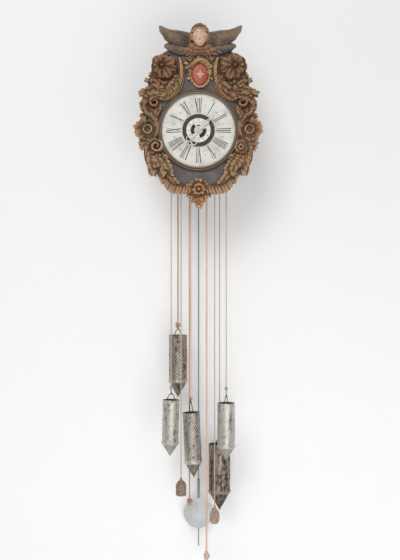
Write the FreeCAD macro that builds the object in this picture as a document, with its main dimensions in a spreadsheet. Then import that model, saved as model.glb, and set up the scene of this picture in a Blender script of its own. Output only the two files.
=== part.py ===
import FreeCAD, Part
import math
import os
import re
from typing import NamedTuple

import Sketcher
from FreeCAD import Placement, Rotation, Vector

# Wooden-movement wall clock with a carved and painted shield, five weights and a seconds pendulum.
# Frame: the origin is the wall nail's hole, +Z is up, +X is right, and the viewer stands at -Y.

# Driving dimensions, in millimetres and counts
SIZES = {
    # movement case
    "frame_drop": 30,
    "wheel_margin": 2.75,
    "bottom_margin": 4.6,
    "board_stock": 10,
    "side_stock": 6,
    "plate_stock": 6,
    "pendulum_bay": 44,
    "strike_bay": 28,
    "going_bay": 30,
    "alarm_bay": 26,
    "motion_bay": 12,
    "running_clearance": 0.05,
    "seat_gap": 0.3,
    "side_play": 1,
    # hanging loop and pendulum cock
    "hanger_bore": 6,
    "hanger_stock": 4,
    "hanger_half_width": 13,
    "cock_half_width": 7,
    "cock_stock": 3,
    "cock_back": 10,
    "cock_pin_radius": 1.5,
    # bells and hammers
    "bell_spread": 36,
    "bell_row": 97,
    "hour_bell_radius": 28,
    "quarter_bell_radius": 25,
    "bell_height": 27,
    "bell_wall": 2.4,
    "bell_rim_rise": 42,
    "bell_rod_radius": 3,
    "bell_collar_radius": 7,
    "bell_collar_stock": 4,
    "bell_nut_half": 5,
    "bell_nut_stock": 4,
    "rail_stock": 6,
    "rail_height": 16,
    "rail_gap": 44,
    "hammer_arbor_radius": 2,
    "hammer_arbor_rise": 8,
    "hammer_head_radius": 5,
    "hammer_head_length": 11,
    "hammer_reach": 37,
    "hammer_lean": 8,
    "hammer_wire": 1.6,
    # dial, shield and hands
    "dial_drop": 128,
    "dial_radius": 87,
    "dial_stock": 4,
    "bezel_width": 8.6,
    "bezel_depth": 11,
    "bezel_lip": 1.6,
    "bezel_step": 3.4,
    "drawn_bezel_radius": 95.6,
    "shield_stock": 12,
    "hand_stock": 1.4,
    "hand_gap": 1.6,
    "minute_hand_length": 52,
    "hour_hand_length": 43,
    "minute_rest_angle": 47,
    "hour_rest_angle": 214,
    "alarm_disc_radius": 38,
    "alarm_disc_stock": 1.4,
    "pipe_wall": 1.5,
    # going train
    "arbor_radius": 2.5,
    "wheel_stock": 4,
    "great_teeth": 60,
    "minute_leaves": 20,
    "great_module": 1.4,
    "centre_teeth": 64,
    "second_leaves": 8,
    "centre_module": 0.875,
    "second_teeth": 60,
    "escape_leaves": 8,
    "second_module": 0.8,
    "second_angle": 44.4,
    "escape_teeth": 30,
    "escape_radius": 18,
    "escape_stock": 2,
    "anchor_rise": 25.5,
    "anchor_stock": 4,
    "pallet_clearance": 1.5,
    "pallet_depth": 3,
    "cannon_leaves": 10,
    "minute_wheel_teeth": 30,
    "minute_wheel_leaves": 8,
    "hour_teeth": 32,
    "motion_module": 0.9,
    # striking trains
    "strike_teeth": 60,
    "fly_leaves": 8,
    "strike_module": 1,
    "repeat_teeth": 36,
    "alarm_teeth": 15,
    "alarm_wheel_radius": 18,
    "fly_half_width": 9,
    "fly_stock": 1.6,
    # pendulum
    "pendulum_row": 22,
    "pendulum_length": 1001,
    "rod_radius": 1.5,
    "rod_tail": 82,
    "sleeve_radius": 3.1,
    "sleeve_length": 47,
    "sleeve_rise": 39,
    "bob_radius": 37.8,
    "bob_half_stock": 7,
    "bob_rim_half_stock": 1.2,
    "eye_radius": 4.5,
    "crutch_length": 60,
    # ropes and what hangs on them
    "thick_rope": 4.5,
    "beaded_rope": 3.8,
    "thin_cord": 2.6,
    "flange_rise": 2.4,
    "flange_stock": 2,
    "rope_hole_play": 2.5,
    "can_wall": 1.2,
    "can_bead": 0.9,
    "can_bead_height": 3,
    "can_fill_drop": 11,
    "bail_wire": 1.1,
    "bail_foot": 8,
    "knot_collar": 2.6,
    "alarm_wheel_x": -53.6,
    "alarm_rope_radius": 11.8,
    "alarm_rim_drop": 766,
    "alarm_can_radius": 19.8,
    "alarm_can_length": 105.5,
    "alarm_cone_length": 28.8,
    "alarm_bail_height": 26,
    "alarm_tail_drop": 953,
    "alarm_tail_radius": 12.5,
    "alarm_tail_length": 42,
    "quarter_wheel_x": -36.5,
    "quarter_rope_radius": 14.3,
    "quarter_rim_drop": 615,
    "quarter_can_radius": 22.2,
    "quarter_can_length": 116,
    "quarter_cone_length": 37,
    "quarter_bail_height": 20,
    "quarter_tail_drop": 1021,
    "quarter_tail_radius": 4.8,
    "quarter_tail_length": 11,
    "going_wheel_x": 0,
    "going_rope_radius": 19.5,
    "going_rim_drop": 801,
    "going_can_radius": 20.7,
    "going_can_length": 123,
    "going_cone_length": 35.3,
    "going_bail_height": 30,
    "going_tail_drop": 1146,
    "going_tail_radius": 6.8,
    "going_tail_length": 12,
    "repeat_wheel_x": 52.5,
    "repeat_rope_radius": 13.8,
    "repeat_rim_drop": 773.5,
    "repeat_can_radius": 21,
    "repeat_can_length": 106.6,
    "repeat_cone_length": 30,
    "repeat_bail_height": 31,
    "repeat_tail_drop": 1019,
    "repeat_tail_radius": 12,
    "repeat_tail_length": 43,
    "hour_wheel_x": 35.5,
    "hour_rope_radius": 16.5,
    "hour_rim_drop": 884,
    "hour_can_radius": 26.3,
    "hour_can_length": 118.7,
    "hour_cone_length": 44.5,
    "hour_bail_height": 22,
    "hour_tail_drop": 1150,
    "hour_tail_radius": 4.8,
    "hour_tail_length": 11,
}

# Places that follow from the sizes, as formulas on the sheet
PLACES = {
    "inner_top": "-frame_drop - board_stock",
    "inner_bottom": "great_z - great_module * (great_teeth / 2 + 1) - bottom_margin",
    "case_bottom": "inner_bottom - board_stock",
    "inner_half_width": "repeat_wheel_x + strike_module * (repeat_teeth / 2 + 0.75) + wheel_margin",
    "frame_half_width": "inner_half_width + side_stock",
    "hammer_pivot": "bell_spread + hour_bell_radius + seat_gap + hammer_head_length / 2 + hammer_lean",
    "rail_half_length": "hammer_pivot + 3 * hammer_arbor_radius",
    "back_plate_y": "-pendulum_bay",
    "strike_plate_y": "-pendulum_bay - plate_stock - strike_bay",
    "alarm_plate_y": "strike_plate_y - plate_stock - going_bay",
    "front_plate_y": "alarm_plate_y - plate_stock - alarm_bay",
    "case_front": "front_plate_y - plate_stock",
    "strike_row": "-pendulum_bay - plate_stock - strike_bay / 2",
    "going_row": "strike_plate_y - plate_stock - going_bay / 2",
    "alarm_row": "alarm_plate_y - plate_stock - alarm_bay / 2",
    "shield_back": "case_front - motion_bay",
    "shield_face": "shield_back - shield_stock",
    "dial_face": "shield_face - dial_stock",
    "minute_z": "-dial_drop",
    "great_z": "minute_z - great_module * (great_teeth + minute_leaves) / 2",
    "centre_distance": "centre_module * (centre_teeth + second_leaves) / 2",
    "second_x": "centre_distance * sin(second_angle)",
    "second_z": "minute_z + centre_distance * cos(second_angle)",
    "second_distance": "second_module * (second_teeth + escape_leaves) / 2",
    "escape_z": "second_z + sqrt(second_distance ^ 2 - second_x ^ 2)",
    "anchor_z": "escape_z + anchor_rise",
    "motion_distance": "motion_module * (cannon_leaves + minute_wheel_teeth) / 2",
    "fly_rise": "strike_module * (strike_teeth + fly_leaves) / 2",
    "fly_half_span": "fly_rise - hour_rope_radius - thin_cord / 2 - flange_rise - side_play",
    "pipe_bore": "arbor_radius + running_clearance",
    "pipe_radius": "pipe_bore + pipe_wall",
    "disc_y": "dial_face - hand_gap",
    "hour_hand_y": "disc_y - alarm_disc_stock - hand_gap",
    "minute_hand_y": "hour_hand_y - hand_stock - hand_gap",
    "bezel_radius": "dial_radius + bezel_width",
    "bob_z": "anchor_z - pendulum_length",
    "rail_back_y": "-bell_row + rail_gap / 2",
    "bell_rim_z": "-frame_drop + bell_rim_rise",
    "hammer_z": "-frame_drop + hammer_arbor_rise",
}

doc = FreeCAD.newDocument("wall_clock")
sheet = doc.addObject("Spreadsheet::Sheet", "sizes")
for row, (alias, amount) in enumerate(SIZES.items(), 1):
    sheet.set(f"A{row}", alias)
    sheet.set(f"B{row}", str(amount))
    sheet.setAlias(f"B{row}", alias)
doc.recompute()

PARTS = []
FRONT = Rotation(Vector(1, 0, 0), 90)
HOLED = "Part::FaceMakerBullseye"
WORD = re.compile(r"[A-Za-z_][A-Za-z_0-9]*")


def formula(text):
    """The formula with each place written out and each size named on the sheet."""

    def spelled(match):
        word = match.group()
        if word in PLACES:
            return f"({formula(PLACES[word])})"
        return f"sizes.{word}" if word in SIZES else word

    return WORD.sub(spelled, str(text))


def number(text):
    """The formula's value now."""
    return float(sheet.evalExpression(formula(text)))


def tie(thing, **formulas):
    """Bind properties of an object, such as Length or x, to formulas on the sheet."""
    for name, text in formulas.items():
        where = f".Placement.Base.{name}" if name in ("x", "y", "z") else name
        thing.setExpression(where, formula(text))
    return thing


def keep(thing, label):
    """Name a finished sub-part and list it for export."""
    thing.Label = label
    PARTS.append(thing)
    return thing


def shaped(label, solids, x="0", y="0", z="0", turn=None):
    """A sub-part whose solids were worked out from the sheet, set in its place."""
    feature = doc.addObject("Part::Feature", label)
    feature.Shape = solids[0] if len(solids) == 1 else Part.makeCompound(solids)
    if turn is not None:
        feature.Placement = Placement(Vector(0, 0, 0), turn)
    return keep(tie(feature, x=x, y=y, z=z), label)


def box(name, long, wide, high, x, y, z):
    """A squared board, placed by its lowest corner."""
    board = doc.addObject("Part::Box", name)
    return tie(board, Length=long, Width=wide, Height=high, x=x, y=y, z=z)


def round_bar(name, radius, long, x, y, z, turn=None):
    """A round bar that starts at a place and runs up, or towards the viewer when turned to the front."""
    bar = doc.addObject("Part::Cylinder", name)
    if turn is not None:
        bar.Placement = Placement(Vector(0, 0, 0), turn)
    return tie(bar, Radius=radius, Height=long, x=x, y=y, z=z)


def drilled(name, blank, tools):
    """A blank with tools cut out of it; the volume has to fall."""
    cut = doc.addObject("Part::Cut", name)
    cut.Base = blank
    cut.Tool = tools[0]
    if len(tools) > 1:
        together = doc.addObject("Part::MultiFuse", f"{name}_tools")
        together.Shapes = tools
        cut.Tool = together
    doc.recompute()
    assert cut.Shape.Volume < blank.Shape.Volume, name
    return cut


def body_sketch(name, plane):
    """A body and a sketch on one of its own origin planes."""
    body = doc.addObject("PartDesign::Body", name)
    sketch = body.newObject("Sketcher::SketchObject", f"{name}_profile")
    origin_plane = [part for part in body.Origin.OriginFeatures if part.Role == plane][0]
    sketch.AttachmentSupport = [(origin_plane, "")]
    sketch.MapMode = "FlatFace"
    return body, sketch


def draw_profile(sketch, corners):
    """A closed outline whose corners are each bound to two formulas."""
    points = [Vector(number(u), number(v), 0) for u, v in corners]
    count = len(points)
    first = sketch.GeometryCount
    for index, point in enumerate(points):
        sketch.addGeometry(Part.LineSegment(point, points[(index + 1) % count]), False)
    for index in range(count):
        following = first + (index + 1) % count
        sketch.addConstraint(Sketcher.Constraint("Coincident", first + index, 2, following, 1))
    for index, corner in enumerate(corners):
        for kind, text, axis in (("DistanceX", corner[0], -2), ("DistanceY", corner[1], -1)):
            if text == "0":
                sketch.addConstraint(Sketcher.Constraint("PointOnObject", first + index, 1, axis))
                continue
            held = Sketcher.Constraint(kind, -1, 1, first + index, 1, number(text))
            sketch.setExpression(f"Constraints[{sketch.addConstraint(held)}]", formula(text))


def draw_circle(sketch, radius):
    """A circle about the sketch's origin, bound to a formula."""
    ring = sketch.addGeometry(Part.Circle(Vector(0, 0, 0), Vector(0, 0, 1), number(radius)), False)
    sketch.addConstraint(Sketcher.Constraint("Coincident", ring, 3, -1, 1))
    held = sketch.addConstraint(Sketcher.Constraint("Radius", ring, number(radius)))
    sketch.setExpression(f"Constraints[{held}]", formula(radius))


def turned(name, corners, upright=True):
    """A turned piece: a closed profile of radius and height corners, spun about Z, or about Y."""
    body, sketch = body_sketch(name, "XZ_Plane" if upright else "XY_Plane")
    draw_profile(sketch, corners)
    spin = body.newObject("PartDesign::Revolution", f"{name}_spin")
    spin.Profile = sketch
    spin.ReferenceAxis = (sketch, ["V_Axis"])
    spin.Angle = 360
    return body


def disc(name, radius, bore, stock):
    """A flat disc with a bore, facing the viewer, its back on the place it is tied to."""
    body, sketch = body_sketch(name, "XZ_Plane")
    draw_circle(sketch, radius)
    draw_circle(sketch, bore)
    pad = body.newObject("PartDesign::Pad", f"{name}_pad")
    pad.Profile = sketch
    pad.setExpression("Length", formula(stock))
    return body


def rounded_path(points, radius):
    """Straight runs joined by tangent arcs of one radius."""
    edges = []
    start = points[0]
    for before, corner, after in zip(points, points[1:], points[2:]):
        into = (corner - before).normalize()
        out = (after - corner).normalize()
        half_turn = into.getAngle(out) / 2
        back = radius * math.tan(half_turn)
        first = corner - into * back
        last = corner + out * back
        inward = (out - into).normalize()
        middle = corner + inward * (radius / math.cos(half_turn) - radius)
        edges.append(Part.makeLine(start, first))
        edges.append(Part.Arc(first, middle, last).toShape())
        start = last
    edges.append(Part.makeLine(start, points[-1]))
    return Part.Wire(edges)


def wire_along(path, radius):
    """A round wire or rope along a path of lines and arcs; its volume is compared with its length."""
    start = path.Edges[0]
    ring = Part.Wire([Part.makeCircle(radius, start.valueAt(start.FirstParameter),
                                      start.tangentAt(start.FirstParameter))])
    solid = path.makePipeShell([ring], True, False)
    expected = math.pi * radius ** 2 * path.Length
    assert abs(solid.Volume - expected) < 0.01 * expected, "wire volume"
    return solid


def bar_between(start, end, radius):
    """A round bar from one point to another."""
    return Part.makeCylinder(radius, (end - start).Length, start, end - start)


# Movement case: top and bottom boards, sides and four plates
class Bore(NamedTuple):
    """A hole through a plate for an arbor, by formulas."""

    x: str
    z: str
    radius: str = "arbor_radius + running_clearance"


GOING_BORES = [
    Bore("0", "great_z"),
    Bore("0", "minute_z"),
    Bore("second_x", "second_z"),
    Bore("0", "escape_z"),
    Bore("0", "anchor_z"),
]
STRIKE_BORES = [
    Bore("quarter_wheel_x", "great_z"),
    Bore("quarter_wheel_x", "great_z + fly_rise"),
    Bore("hour_wheel_x", "great_z"),
    Bore("hour_wheel_x", "great_z + fly_rise"),
]
ALARM_BORES = [
    Bore("alarm_wheel_x", "great_z"),
    Bore("repeat_wheel_x", "great_z"),
]
PLATES = {
    "back_plate": ("back_plate_y", STRIKE_BORES + [Bore("0", "anchor_z")]),
    "strike_plate": ("strike_plate_y", STRIKE_BORES + GOING_BORES),
    "alarm_plate": ("alarm_plate_y", GOING_BORES + ALARM_BORES),
    "front_plate": (
        "front_plate_y",
        ALARM_BORES + [Bore("0", "minute_z"), Bore("motion_distance", "minute_z")],
    ),
}


def movement_plates():
    """The upright plates that carry the arbors, from the back to the front."""
    plates = []
    for name, (back, bores) in PLATES.items():
        blank = box(
            f"{name}_blank", "2 * inner_half_width", "plate_stock", "inner_top - inner_bottom",
            "-inner_half_width", f"{back} - plate_stock", "inner_bottom",
        )
        holes = [
            round_bar(f"{name}_bore_{index}", bore.radius, "plate_stock", bore.x, back, bore.z, FRONT)
            for index, bore in enumerate(bores)
        ]
        plates.append(drilled(name, blank, holes))
    stack = doc.addObject("Part::Compound", "plate_stack")
    stack.Links = plates
    keep(stack, "movement_plates")


def movement_case():
    """The top board, the bottom board with its rope holes, the sides and the hanging loop."""
    depth = "-case_front"
    keep(
        box("top_board", "2 * frame_half_width", f"{depth} - hanger_stock", "board_stock",
            "-frame_half_width", "case_front", "inner_top"),
        "frame_top",
    )
    sides = doc.addObject("Part::Compound", "sides")
    sides.Links = [
        box(f"side_{name}", "side_stock", "-shield_back", "inner_top - inner_bottom",
            x, "shield_back", "inner_bottom")
        for name, x in (("left", "-frame_half_width"), ("right", "inner_half_width"))
    ]
    keep(sides, "side_boards")
    blank = box("bottom_blank", "2 * frame_half_width", depth, "board_stock",
                "-frame_half_width", "case_front", "case_bottom")
    holes = [
        round_bar(f"{train.name}_hole_{side}", f"{train.rope} / 2 + rope_hole_play", "board_stock",
                  f"{train.name}_wheel_x + ({side}) * {train.name}_rope_radius", train.row, "case_bottom")
        for train in TRAINS
        for side in (-1, 1)
    ]
    slot_half = "rod_radius + crutch_length / 4"
    holes.append(
        box("rod_slot", f"2 * ({slot_half})", "pendulum_row", "board_stock",
            f"-({slot_half})", "-1.5 * pendulum_row", "case_bottom")
    )
    keep(drilled("bottom_board", blank, holes), "frame_bottom")
    strap = box("strap", "2 * hanger_half_width", "hanger_stock", "hanger_half_width - inner_top",
                "-hanger_half_width", "-hanger_stock", "inner_top")
    nail_hole = round_bar("nail_hole", "hanger_bore", "hanger_stock", "0", "0", "0", FRONT)
    keep(drilled("strap_drilled", strap, [nail_hole]), "hanging_loop")


def pendulum_cock():
    """The iron strip under the top board whose pin carries the pendulum's eye."""
    strip = box("cock_strip", "2 * cock_half_width", "cock_stock", "inner_top - anchor_z + cock_half_width",
                "-cock_half_width", "-cock_back - cock_stock", "anchor_z - cock_half_width")
    pin = round_bar("cock_pin", "cock_pin_radius", "pendulum_row - cock_back + eye_radius",
                    "0", "-cock_back", "anchor_z", FRONT)
    cock = doc.addObject("Part::Fuse", "cock")
    cock.Base = strip
    cock.Tool = pin
    keep(cock, "pendulum_cock")


# Ropes, weights and their trains
class Train(NamedTuple):
    """One rope loop: the row it hangs in, the rope's thickness and the side its weight hangs on."""

    name: str
    row: str
    rope: str
    side: int


TRAINS = [
    Train("alarm", "alarm_row", "thin_cord", -1),
    Train("quarter", "strike_row", "beaded_rope", -1),
    Train("going", "going_row", "thick_rope", -1),
    Train("repeat", "alarm_row", "thin_cord", 1),
    Train("hour", "strike_row", "thin_cord", 1),
]


def rope_loop(train):
    """The rope: up from the weight, half round its wheel and down to the tail."""
    radius = number(f"{train.name}_rope_radius")
    wheel_z = number("great_z")
    weight_end = number(f"-{train.name}_rim_drop + {train.name}_bail_height + bail_wire + seat_gap")
    tail_end = number(f"-{train.name}_tail_drop + seat_gap")
    weight_x = train.side * radius
    path = Part.Wire([
        Part.makeLine(Vector(weight_x, 0, weight_end), Vector(weight_x, 0, wheel_z)),
        Part.Arc(
            Vector(weight_x, 0, wheel_z), Vector(0, 0, wheel_z + radius), Vector(-weight_x, 0, wheel_z),
        ).toShape(),
        Part.makeLine(Vector(-weight_x, 0, wheel_z), Vector(-weight_x, 0, tail_end)),
    ])
    rope = wire_along(path, number(train.rope) / 2)
    shaped(f"{train.name}_rope", [rope], x=f"{train.name}_wheel_x", y=train.row)


def canister(train):
    """A tin can with a beaded rim, a beaded shoulder and a conical point, filled, on a wire bail."""
    name = train.name
    radius, bead = f"{name}_can_radius", "can_bead"
    cone, long = f"{name}_cone_length", f"({name}_cone_length + {name}_can_length)"
    shell = turned(f"{name}_can", [
        ("0", "0"),
        (radius, cone),
        (f"{radius} + {bead}", f"{cone} + can_bead_height / 2"),
        (radius, f"{cone} + can_bead_height"),
        (radius, f"{long} - can_bead_height"),
        (f"{radius} + {bead}", f"{long} - can_bead_height / 2"),
        (f"{radius} + {bead} / 2", long),
        (f"{radius} - can_wall", long),
        (f"{radius} - can_wall", f"{cone} + can_wall"),
        ("0", "2 * can_wall"),
    ])
    fill = turned(f"{name}_fill", [
        ("0", "2 * can_wall"),
        (f"{radius} - can_wall", f"{cone} + can_wall"),
        (f"{radius} - can_wall", f"{long} - can_fill_drop"),
        ("0", f"{long} - can_fill_drop"),
    ])
    foot = number(f"{radius} - can_wall - bail_wire - running_clearance")
    rim = number(long)
    height = number(f"{name}_bail_height")
    bend = number("3 * bail_wire")
    drop = number("bail_foot")
    path = rounded_path([
        Vector(-foot, 0, rim - drop),
        Vector(-foot, 0, rim + height / 4),
        Vector(0, 0, rim + height + bend / 4),
        Vector(foot, 0, rim + height / 4),
        Vector(foot, 0, rim - drop),
    ], bend)
    top = path.BoundBox.ZMax
    wire = wire_along(path, number("bail_wire"))
    wire.translate(Vector(0, 0, rim + height - top))
    bail = doc.addObject("Part::Feature", f"{name}_bail")
    bail.Shape = wire
    weight = doc.addObject("Part::Compound", f"{name}_load")
    weight.Links = [shell, fill, bail]
    tie(weight, x=f"{name}_wheel_x + ({train.side}) * {name}_rope_radius", y=train.row,
        z=f"-{name}_rim_drop - {long}")
    keep(weight, f"{name}_weight")


def tail(train, label, shares):
    """What keeps the rope's free end down, turned: radius and height shares up to a collar."""
    name = train.name
    radius, long = f"{name}_tail_radius", f"{name}_tail_length"
    corners = [("0", "0")]
    corners += [(f"{radius} * {across}", f"{long} * {up}" if up else "0") for across, up in shares]
    corners += [("knot_collar", f"{long} * 0.9"), ("knot_collar", long), ("0", long)]
    body = turned(f"{name}_tail_body", corners)
    tie(body, x=f"{name}_wheel_x - ({train.side}) * {name}_rope_radius", y=train.row,
        z=f"-{name}_tail_drop - {long}")
    keep(body, label)


BANDED_DOME = [(0.9, 0), (1, 0.06), (1, 0.3), (0.94, 0.33), (1, 0.37), (1, 0.58), (0.8, 0.74), (0.45, 0.84)]
PEAR = [(0.62, 0), (0.92, 0.12), (1, 0.32), (0.95, 0.52), (0.74, 0.7), (0.45, 0.83)]
KNOT = [(0.6, 0), (1, 0.25), (1, 0.6), (0.7, 0.85)]
TAILS = {
    "alarm": ("alarm_counterweight", BANDED_DOME),
    "quarter": ("quarter_tail", KNOT),
    "going": ("going_tail", KNOT),
    "repeat": ("repeat_counterweight", PEAR),
    "hour": ("hour_tail", KNOT),
}


# Toothed wheels
def cogs(name):
    """A tooth count from the sheet."""
    return int(number(name))


def toothed_disc(teeth, module, stock, bore, phase=0.0, addendum=0.75, dedendum=1.05, share=0.4, holes=0):
    """A wheel whose straight-sided teeth narrow to their tips; phase turns a tooth onto that angle."""
    pitch_radius = teeth * module / 2
    step = 2 * math.pi / teeth
    tip, root = pitch_radius + addendum * module, pitch_radius - dedendum * module
    corners = []
    for tooth in range(teeth):
        middle = phase + tooth * step
        for reach, half in ((root, 0.62 * share * step), (tip, 0.3 * share * step)):
            corners.append((reach, middle - half))
        for reach, half in ((tip, 0.3 * share * step), (root, 0.62 * share * step)):
            corners.append((reach, middle + half))
    points = [Vector(reach * math.cos(angle), reach * math.sin(angle), 0) for reach, angle in corners]
    wires = [Part.makePolygon(points + points[:1])]
    if bore:
        wires.append(Part.Wire([Part.makeCircle(bore)]))
    middle_radius = (root + 3 * number("arbor_radius")) / 2
    opening = (root - 3 * number("arbor_radius")) / 2 * 0.72
    for hole in range(holes):
        angle = 2 * math.pi * (hole + 0.5) / holes
        centre = Vector(middle_radius * math.cos(angle), middle_radius * math.sin(angle), 0)
        wires.append(Part.Wire([Part.makeCircle(opening, centre)]))
    return Part.makeFace(wires, HOLED).extrude(Vector(0, 0, stock))


def set_back(shape, distance):
    """Move a wheel along its arbor: distance runs from the arbor's back end towards the viewer."""
    shape.translate(Vector(0, 0, distance))
    return shape


def rope_spool(radius, rope, half_width):
    """A rope wheel with a groove between two flanges, its middle plane at zero."""
    core = radius - rope / 2 - number("seat_gap")
    rim = radius + rope / 2 + number("flange_rise")
    flange = number("flange_stock")
    inner = half_width - flange
    bore = number("arbor_radius")
    profile = [
        (bore, -half_width), (rim, -half_width), (rim, -inner), (core, -inner),
        (core, inner), (rim, inner), (rim, half_width), (bore, half_width),
    ]
    points = [Vector(reach, 0, along) for reach, along in profile]
    face = Part.Face(Part.makePolygon(points + points[:1]))
    return face.revolve(Vector(0, 0, 0), Vector(0, 0, 1), 360)


def spool_half(train):
    """Half the width of a train's rope wheel."""
    return number(f"{train.rope} / 2 + seat_gap * 2 + flange_stock")


def arbor(long, radius=None):
    """A plain arbor from the back end towards the viewer."""
    return Part.makeCylinder(radius or number("arbor_radius"), long)


def mesh_phase(driver, follower, teeth):
    """Phases that put a driver's tooth and a follower's gap on the line between two arbors."""
    angle = math.atan2(follower[1] - driver[1], follower[0] - driver[0])
    return angle, angle + math.pi + math.pi / teeth


def going_train():
    """Great wheel, minute arbor, second wheel, escape wheel and anchor, between the inner plates."""
    back = number("strike_plate_y")
    span = number("going_bay + 2 * plate_stock")
    stock = number("wheel_stock")
    bore = number("arbor_radius")
    great, minute = (0, number("great_z")), (0, number("minute_z"))
    second, escape = (number("second_x"), number("second_z")), (0, number("escape_z"))
    row = back - number("going_row")
    play = number("side_play")
    great_plane = number("plate_stock") + 2 * play
    centre_plane = row + play
    second_plane = span - number("plate_stock") - stock - 2 * play
    escape_plane = row - 2 * play - number("escape_stock")

    leaves = cogs("minute_leaves")
    phase, gap = mesh_phase(great, minute, leaves)
    going = TRAINS[2]
    spool = rope_spool(number("going_rope_radius"), number(going.rope), spool_half(going))
    shaped("going_great_wheel", [
        arbor(span),
        set_back(toothed_disc(cogs("great_teeth"), number("great_module"), stock, bore, phase, holes=6),
                 great_plane),
        set_back(spool, row),
    ], y="strike_plate_y", z="great_z", turn=FRONT)

    minute_pinion = toothed_disc(leaves, number("great_module"), stock, bore, gap)
    phase, gap = mesh_phase(minute, second, cogs("second_leaves"))
    centre_wheel = toothed_disc(cogs("centre_teeth"), number("centre_module"), stock, bore, phase, holes=5)
    motion_angle, _ = mesh_phase((0, 0), (1, 0), 1)
    cannon = toothed_disc(cogs("cannon_leaves"), number("motion_module"), stock, bore, motion_angle)
    shaped("minute_arbor", [
        arbor(back - number("minute_hand_y - hand_stock - side_play")),
        set_back(minute_pinion, great_plane),
        set_back(centre_wheel, centre_plane),
        set_back(cannon, back - number("case_front") + play),
    ], y="strike_plate_y", z="minute_z", turn=FRONT)

    second_pinion = toothed_disc(cogs("second_leaves"), number("centre_module"), stock + 2 * play, 0, gap)
    phase, gap = mesh_phase(second, escape, cogs("escape_leaves"))
    second_wheel = toothed_disc(cogs("second_teeth"), number("second_module"), stock, bore, phase, holes=5)
    shaped("second_wheel", [
        slim_arbor(span, second_pinion, centre_plane - play, number("centre_module * second_leaves / 2")),
        set_back(second_wheel, second_plane),
    ], x="second_x", y="strike_plate_y", z="second_z", turn=FRONT)

    escape_pinion = toothed_disc(cogs("escape_leaves"), number("second_module"), stock + play, 0, gap)
    shaped("escape_wheel", [
        slim_arbor(span, escape_pinion, second_plane - play / 2, number("second_module * escape_leaves / 2")),
        set_back(ratchet_disc(cogs("escape_teeth"), number("escape_radius"), number("escape_stock"), bore),
                 escape_plane),
    ], y="strike_plate_y", z="escape_z", turn=FRONT)

    shaped("anchor", [anchor_solid(escape_plane, span)], y="strike_plate_y", z="anchor_z", turn=FRONT)


def slim_arbor(span, pinion, start, pitch_radius):
    """An arbor carved in one with its pinion, whose leaves stand close round it."""
    stem = arbor(span, min(number("arbor_radius"), 0.6 * pitch_radius))
    journal = number("arbor_radius")
    ends = [Part.makeCylinder(journal, number("plate_stock + side_play / 2")) for _ in range(2)]
    ends[1].translate(Vector(0, 0, span - number("plate_stock + side_play / 2")))
    return stem.multiFuse(ends + [set_back(pinion, start)]).removeSplitter()


def ratchet_disc(teeth, radius, stock, bore, depth_share=0.16, lean=0.85):
    """A wheel of leaning, pointed teeth with a crossed-out middle."""
    step = 2 * math.pi / teeth
    root = radius * (1 - depth_share)
    points = []
    for tooth in range(teeth):
        start = tooth * step
        points.append(Vector(root * math.cos(start), root * math.sin(start), 0))
        peak = start + lean * step
        points.append(Vector(radius * math.cos(peak), radius * math.sin(peak), 0))
    wires = [Part.makePolygon(points + points[:1]), Part.Wire([Part.makeCircle(bore)])]
    hub = 2.2 * bore
    opening = (root - hub) / 2 * 0.78
    for spoke in range(4):
        angle = math.pi / 2 * (spoke + 0.5)
        centre = Vector(math.cos(angle), math.sin(angle), 0) * ((root + hub) / 2)
        wires.append(Part.Wire([Part.makeCircle(opening, centre)]))
    return Part.makeFace(wires, HOLED).extrude(Vector(0, 0, stock))


def anchor_solid(plane, span):
    """The anchor with its two pallets, its arbor and the crutch whose fork holds the pendulum rod."""
    stock = number("anchor_stock")
    rise = number("anchor_rise")
    near = number("escape_radius + pallet_clearance")
    far = near + number("pallet_depth")
    long = span + number("cock_back - strike_plate_y - pendulum_bay")
    stem = Part.makeCylinder(number("arbor_radius"), long)
    stem.translate(Vector(0, 0, number("strike_plate_y - back_plate_y") - number("cock_back")))
    half = math.radians(48)
    centre = Vector(0, -rise, 0)

    def on_ring(reach, angle):
        return centre + Vector(reach * math.sin(angle), reach * math.cos(angle), 0)

    bow = Part.Wire([
        Part.Arc(on_ring(near, -half), on_ring(near, 0), on_ring(near, half)).toShape(),
        Part.makeLine(on_ring(near, half), on_ring(far, half)),
        Part.Arc(on_ring(far, half), on_ring(far, 0), on_ring(far, -half)).toShape(),
        Part.makeLine(on_ring(far, -half), on_ring(near, -half)),
    ])
    arms = Part.Face(bow).extrude(Vector(0, 0, stock))
    hub_half = 2 * number("arbor_radius")
    neck = Part.makeBox(2 * hub_half, rise - near + hub_half, stock, Vector(-hub_half, near - rise, 0))
    bow_plane = plane - number("side_play")
    for piece in (arms, neck):
        piece.translate(Vector(0, 0, bow_plane))
    crutch_at = number("strike_plate_y - back_plate_y") - number("cock_back") / 2
    wire = number("bail_wire")
    drop = number("crutch_length")
    prong = number("rod_radius + seat_gap") + wire
    rear = number("strike_plate_y + pendulum_row - rod_radius * 2")
    bar = 1.4 * wire
    foot = Vector(0, -drop, crutch_at)
    wide = Vector(prong + wire, 0, 0)
    pieces = [arms, neck]
    pieces.append(bar_between(Vector(0, 0, crutch_at), foot, bar))
    pieces.append(bar_between(foot - wide, foot + wide, bar))
    for side in (-1, 1):
        beside = side * prong
        pieces.append(bar_between(Vector(beside, -drop, crutch_at), Vector(beside, -drop, rear), wire))
    return stem.multiFuse(pieces).removeSplitter()


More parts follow.
